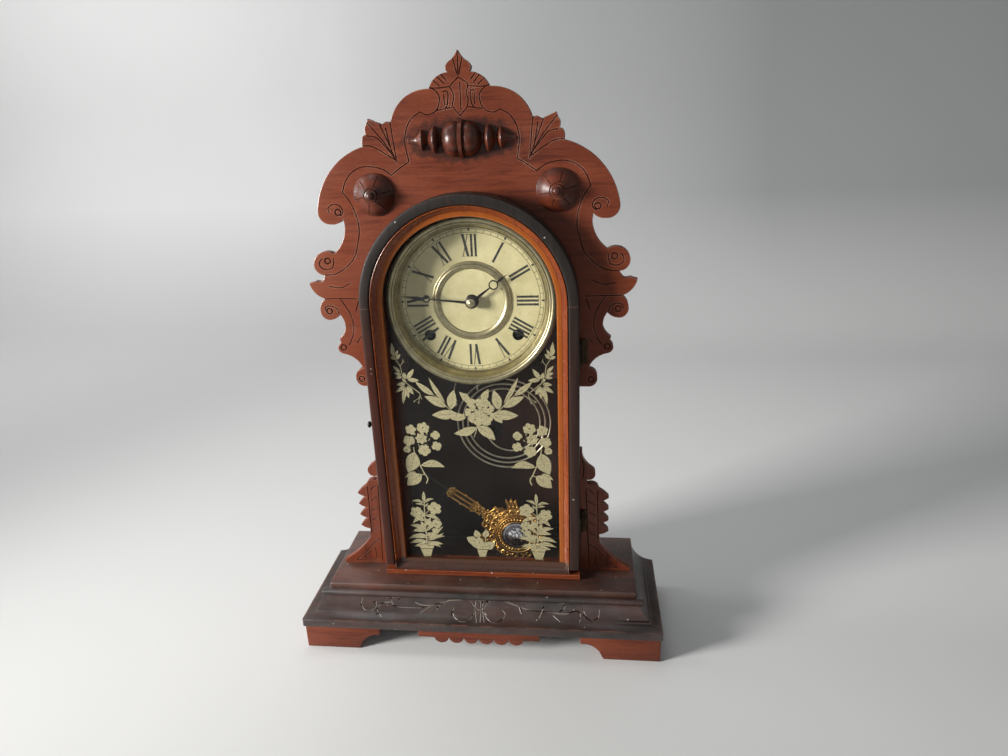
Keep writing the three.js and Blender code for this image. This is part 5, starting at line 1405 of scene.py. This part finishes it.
CLUSTER_STEMS = [
    (0.8, 1.3, [(-63.1, 203), (-62.6, 198), (-60.9, 192.4), (-57.5, 182.1), (-54.3, 174.5), (-51.3, 168.3),
                (-53.2, 163.1)]),
    (0.7, 0.7, [(-57.5, 182.1), (-54.4, 185.2), (-52.7, 186.3)]),
    (0.9, 0.7, [(-54.3, 173.6), (-57, 172.4), (-59.4, 173.5)]),
]
TALL_POT = [
    ((-65.4, 90.2), (-50.3, 90.7), (-51.1, 87.3), (-64.9, 86.8)),
    ((-64.6, 86.2), (-51.8, 86.7), (-54.6, 77.6), (-61.8, 77.3)),
]
TALL_STEM = [(-57, 143.3), (-57.5, 129.6), (-57.7, 115), (-57.5, 101.6), (-57.9, 89.6)]
TALL_BLOSSOMS = [
    (-46.9, 134.5, 7.8, 5, 0.5), (-66.1, 129.6, 7, 5, 1.1), (-46, 116.7, 5.6, 4, 0.2),
    (-47.6, 108.2, 3.9, 4, 0.9),
]
TALL_TWIGS = [(0.8, 0.6, [(-57.4, 128), (-61, 130)]), (0.8, 0.6, [(-57.2, 128), (-52.6, 132)])]
LOW_POT = [
    ((-6.4, 90.4), (7, 90.2), (6, 88), (-5.4, 88)),
    ((-5.2, 87.4), (5.8, 87.4), (3.2, 78.6), (-3.2, 78.6)),
]
LOW_STEMS = [(1.2, 0.8, [(0, 89), (-0.6, 94), (-1.6, 98)]), (1.0, 0.8, [(0, 89), (3, 94), (4.4, 102)])]


def spray():
    """The trailing spray in the top corner, left of the dial."""
    return ribbons(SPRAY_STEMS) + leaves(SPRAY_LEAVES, toothed=0.1)


def garland_side():
    """The long leaves of the garland under the dial, left half."""
    return leaves(GARLAND_LEAVES, toothed=0.05, gap=0.24) + [ribbon(GARLAND_STEM, 0.5, 1.0)]


def rose():
    """A full-blown rose: ragged petals in rings round a bud."""
    centre, shapes = at(*ROSE), []
    for petals, inner, outer, turn in ROSE_RINGS:
        for petal in range(petals):
            aim = turn + TAU * (petal + chance.uniform(-0.16, 0.16)) / petals
            span = math.pi / petals * chance.uniform(0.86, 1.12)
            reach = ROSE_RADIUS * outer * chance.uniform(0.88, 1.05)
            low = ROSE_RADIUS * inner * chance.uniform(0.98, 1.06)
            rim, foot = [], []
            for i in range(13):
                off = i / 12 * 2 - 1
                spoke = on_circle(1, aim + off * span)
                ragged = chance.uniform(-0.045, 0.045) * ROSE_RADIUS
                rim.append(centre + spoke * (reach - (reach - low) * 0.5 * abs(off) ** 3 + ragged))
                foot.append(centre + spoke * (low - (reach - low) * 0.16 * (1 - off * off)))
            shapes.append(rim + foot[::-1])
    shapes += blossom(ROSE, 2.8, 4, 0.4)
    shapes += leaves(ROSE_LEAVES, toothed=0.09, gap=0.22)
    shapes.append(ribbon([(1.4, 226), (-0.3, 219), (-2.3, 214)], 0.9, 0.7))
    return shapes


def cluster():
    """The head of blossoms on the left, with its stalk and three leaves."""
    def about(radius, angle):
        return CLUSTER[0] + radius * math.cos(angle), CLUSTER[1] + radius * math.sin(angle)

    shapes = []
    for x, z, radius, petals in CLUSTER_BLOSSOMS:
        shapes += blossom((x, z), radius, petals, 0.7 * x)
    for i in range(7):
        aim = TAU * i / 7 + 0.3
        shapes += leaf(about(0.5, aim), about(6.4, aim), 4.4, 0.3, toothed=0.2)
        curl = [about(radius, aim + off) for radius, off in ((7, 0.3), (8.2, 0.45), (8, 0.62))]
        shapes.append(ribbon(curl, 0.8, 0.6))
    return shapes + ribbons(CLUSTER_STEMS) + leaves(CLUSTER_LEAVES, gap=0.22)


def pot(rows):
    return [[at(x, z) for x, z in row] for row in rows]


def potted_plant():
    """The tall flowering plant in a pot, at the left foot of the glass."""
    shapes = pot(TALL_POT) + [ribbon(TALL_STEM, 0.8, 1.3)]
    for x, z, radius, petals, turn in TALL_BLOSSOMS:
        shapes += blossom((x, z), radius, petals, turn)
    return shapes + ribbons(TALL_TWIGS) + leaves(PLANT_LEAVES, toothed=0.05, gap=0.2)


def little_pot():
    """The low round-leaved plant in the middle."""
    return pot(LOW_POT) + ribbons(LOW_STEMS) + leaves(LITTLE_LEAVES, gap=0.22)


def make_stencils():
    drawn = [("sprays", spray, True), ("garland_leaves", garland_side, True),
             ("blossom_clusters", cluster, True), ("potted_plants", potted_plant, True),
             ("rose", rose, False), ("little_pot", little_pot, False)]
    for name, draw, paired in drawn:
        layer = Print(GLASS_BACK - 0.02, 0.08)
        for path in draw():
            layer.shape(path)
            if paired:
                layer.shape(mirrored(path))
        layer.store(f"stencil_{name}", "door", "dial_cream", stencil_paint)


make_stencils()


# ---------- movement, gong and hammer ----------
def make_movement():
    """The movement keeps its solids' own meshes and gets its metals here."""
    metals = [
        (plate_brass_painted_shade, ("movement_front_plate", "movement_back_plate", "great_wheel_time",
                       "great_wheel_strike", "hour_wheel", "minute_wheel", "escape_wheel")),
        (steel, ("mainspring_strike", "mainspring_time", "centre_arbor", "verge", "pendulum_leader",
                 "strike_hammer")),
        # The winding arbors take the near-black steel as painted shade, which keeps the winding holes dark.
        (dark_steel, ("winding_arbor_strike", "winding_arbor_time")),
    ]
    for material, nodes in metals:
        for node in nodes:
            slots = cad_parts[node].data.materials
            slots.clear()
            slots.append(material)


def gong_route(count):
    path = []
    for i in range(count + 1):
        angle = TAU * 3.2 * i / count
        lead = max(0.0, 1 - angle / (0.75 * math.pi))
        radius = 34.4 + 5.4 * angle / TAU - (34.4 - 18.5 - 5) * lead * lead
        path.append(GONG + on_circle(radius, angle - 2.51))
    return path


def make_gong():
    path = gong_route(220)
    wire = sweep(bmesh.new(), ring_section(0.9, 12), stations(path, [TO_FRONT] * len(path)))
    piece(wire, "gong_wire", "case", steel, ("gong_coil",), crease=60)
    x, z = GONG_STAND
    foot = brick((x - 9, x + 9), (51, 54), (z - 9, z + 9), 0.6)
    post = turned([(0, 52), (4.3, 52), (4.3, 43.6), (3.7, 42.8), (2.6, 42.6), (0, 42.6)], 32)
    added(foot, placed(post, x, 0, z))
    for off in (-6.4, 6.4):
        added(foot, placed(screw_head(1.9, 0.9), x + off, 51, z + off))
    piece(foot, "gong_stand", "case", iron, ("gong_block",))


make_movement()
make_gong()


# ---------- pendulum ----------
STEM_EDGE = [[2, 85], [STEM_HALF, 83, 0.2], [STEM_HALF, 52], [4, 47, 0.2], [6, 38.2, -0.2], [4, 31.5]]
STEM_DOTS = [(5.6, 82.4), (6.1, 54), (6.1, 67.6), (4.4, 44.4), (5.2, 39.4)]
STEM_SCROLLS = [
    [(5.4, 82), (3.6, 85.4), (1, 85.6), (0.8, 83), (2.8, 82.2)],
    [(5.6, 53), (4, 50.4), (1.4, 50.2), (1, 52.6), (2.8, 53.2)],
    [(5, 48), (3, 45), (1.2, 41.6), (2.6, 38.8), (5.4, 37.8)],
]
EAR_EDGE = [
    [17, 24.5], [18.7, 24.6], [22, 28, -0.1], [25.8, 31.6, 0.1], [27.2, 30.4, 0.6], [26.3, 27.2, -0.1],
    [29.6, 28, 0.1], [30.6, 26.2, 0.6], [28.9, 23.6, -0.1], [32.2, 23.4, 0.1], [32.8, 21.8, 0.6],
    [28.8, 17.6, -0.1], [25.4, 12.6, 0.1], [22, 10],
]
EAR_DOTS = [(25.3, 29), (28, 25.8), (30.2, 22.2), (22.6, 24), (24.6, 20.6), (26.4, 17.4)]
SHIELD_EDGE = [
    [0, 43], [3.4, 43], [3.4, 40.6], [6, 37.9, 0.25], [10, 37, -0.1], [14, 36.2, 0.1], [14.4, 34.6, 0.5],
    [14.6, 32.4, -0.3], [17.5, 29, 0.2], [16, 22], [0, 20],
]
SHIELD_DOTS = [(0, 40.4), (0, 36.6), (0, 33.2), (3.6, 31.6), (-3.6, 31.6), (10.4, 30.6), (-10.4, 30.6)]
LENS_ROWS = [
    (0, 12.5), (15.4, 12.5), (15.4, 11.4), (15.8, 11.1), (16.3, 11.2), (16.6, 11.8), (16.8, 12.9),
    (17.4, 13.1), (19.4, 13), (19.9, 12.6), (20.6, 12.5), (22.4, 12.6), (23.2, 13), (23.8, 13.5),
    (26, 13.7), (28.2, 14), (28.7, 13.6), (29.4, 13.7), (30.1, 14.4), (30.2, 15), (30.2, 17),
    (24.2, 19.5), (0, 20.5),
]
LENS_CURL = [(22.6, 0.4), (25.4, 1.0), (28.2, 2.8), (28, 5.6), (25.6, 6.6), (23.8, 5.2), (24.6, 3.4)]
# Depth, wire radius and points of the scrolls on the shield and the ears.
BOB_SCROLLS = [
    (14.1, 0.8, [(2.2, 41.6), (3.2, 38.4), (7.4, 36.4), (12, 35.2), (13.4, 32.6), (11.4, 31), (9.6, 32.4)]),
    (14.1, 0.8, [(1, 37.4), (3.6, 34.4), (6.6, 34.4), (7.4, 32), (5.4, 30.8), (3.8, 32)]),
    (15, 0.7, [(20.5, 23), (24, 27), (25.6, 30.8)]),
    (15, 0.7, [(23.5, 19), (27.4, 24), (29.8, 27)]),
    (15, 0.7, [(25, 14.6), (28.8, 19.6), (32, 22.6)]),
]
JEWEL_ROWS = [
    (0, 9.1), (2.5, 9.2), (5, 9.5), (7.6, 10), (9.6, 10.6), (10.2, 11), (12, 11.2), (13.2, 11), (14.6, 11.3),
    (15.2, 11.8), (JEWEL_RADIUS, 12.7), (0, 12.7),
]


def hang(bm, name, material, nodes=(), crease=32):
    """Makes a piece of a mesh in the pendulum's own frame: the bob at the origin, the hook up +Z."""
    rest = Matrix.Translation((BOB.x, 0, BOB.z)) @ Matrix.Rotation(-PENDULUM_LEAN, 4, "Y")
    piece(moved(bm, rest), name, "pendulum", material, nodes, crease=crease)


def sided(points, side):
    return [(side * x, z) for x, z in points]


def pressed_dots(bm, spots, radius, y):
    for x, z in spots:
        bead = bmesh.new()
        bmesh.ops.create_uvsphere(bead, u_segments=8, v_segments=6, radius=radius)
        added(bm, placed(bead, x, y, z))


def scroll_wire(bm, points, y, radius):
    """A raised scroll pressed up from the plate."""
    path = [Vector((p.x, y, p.z)) for p in flowing(points, 4)]
    sizes = [0.5] + [1.0] * (len(path) - 2) + [0.5]
    added(bm, sweep(bmesh.new(), ring_section(radius, 8), stations(path, [TO_FRONT] * len(path), sizes)))


def make_rod():
    right, depth = outline(STEM_EDGE), (STEM_FRONT, STEM_BACK)
    slots = [outline([[x + 1.3, 56], [x + 1.3, 79], [x - 1.3, 79, 1], [x - 1.3, 56], [x + 1.3, 56, 1]])[:-1]
             for x in (-2.7, 2.7)]
    stem = slab(right + mirrored(right), *depth, 0.3, slots)
    added(stem, brick((-3, 3), depth, (26.2, 33.2), 0.2))
    for z in (52, 83):
        added(stem, brick((-STEM_HALF, STEM_HALF), (14.9, 15.4), (z - 0.9, z + 0.9), 0.2))
    turns = [math.radians(d) for d in range(0, 281, 10)]
    ring = [Vector((2.35 * math.sin(a), 16, 143 - 2.35 * math.cos(a))) for a in turns]
    hook = sweep(bmesh.new(), ring_section(0.6, 8), stations(ring, [TO_FRONT] * len(ring)))
    added(hook, brick((-0.6, 0.6), (15.4, 16.6), (84, 141), 0.2))
    relief = bmesh.new()
    for side in (1, -1):
        pressed_dots(relief, sided(STEM_DOTS, side), 1.35, STEM_FRONT)
        for points in STEM_SCROLLS:
            scroll_wire(relief, sided(points, side), 15, 0.75)
        scroll_wire(relief, sided([(5.3, 55.4), (5.3, 67), (5.3, 80.6)], side), 15.1, 0.6)
    scroll_wire(relief, [(0, 55.4), (0, 67), (0, 80.6)], 15.1, 0.6)
    pressed_dots(relief, [(0, 47.6), (0, 43.8), (0, 40), (0, 36.4)], 1.1, 15.1)
    hang(stem, "pendulum_stem", gilt_ground_grime_and_shade, ("pendulum_rod",))
    hang(relief, "stem_relief", gilt, crease=60)
    hang(hook, "pendulum_hook", dark_wire)


def make_bob():
    """The pressed lens with a beaded ring, scrolls, crowned ears and a socket for the jewel."""
    bm = turned(LENS_ROWS, 96)
    relief = bmesh.new()
    ring = [on_circle(18.1, TAU * i / 36) for i in range(36)]
    pressed_dots(relief, [(p.x, p.z) for p in ring], 1.3, 12.7)
    for radius, y in ((16, 11.2), (20.9, 12.5), (29.8, 14.2)):
        rows = [(radius - 0.5, y), (radius, y - 0.5), (radius + 0.4, y), (radius, y + 0.4),
                (radius - 0.5, y)]
        added(relief, turned(rows, 96))
    for i in range(10):
        angle = TAU * (i + 0.5) / 10
        spoke = at(math.sin(angle), math.cos(angle))
        side = at(spoke.z, -spoke.x)
        for way in (1, -1):
            curl = [spoke * out + side * way * off for out, off in LENS_CURL]
            scroll_wire(relief, [(p.x, p.z) for p in curl], 13.6, 0.85)
        for spot, radius, y in ((spoke * 28, 1.1, 13.9), (spoke * 24 + side * 7.2, 0.9, 13.2)):
            pressed_dots(relief, [(spot.x, spot.z)], radius, y)
    shield, ear = outline(SHIELD_EDGE), outline(EAR_EDGE)
    added(bm, slab(shield + mirrored(shield)[1:-1], 14.1, 14.9, 0.3))
    for side in (1, -1):
        added(bm, slab(ear if side > 0 else mirrored(ear), 15, 17, 0.5))
        pressed_dots(relief, sided(EAR_DOTS, side), 1.0, 15)
        for y, radius, points in BOB_SCROLLS:
            scroll_wire(relief, sided(points, side), y, radius)
    pressed_dots(relief, SHIELD_DOTS, 1.2, 14.1)
    hang(bm, "pendulum_lens", gilt_ground_grime_and_shade, ("pendulum_bob",), crease=50)
    hang(relief, "pendulum_relief", gilt, crease=60)
    hang(turned(JEWEL_ROWS, 64), "pendulum_jewel", jewel_glass, ("bob_jewel",), crease=50)


make_rod()
make_bob()
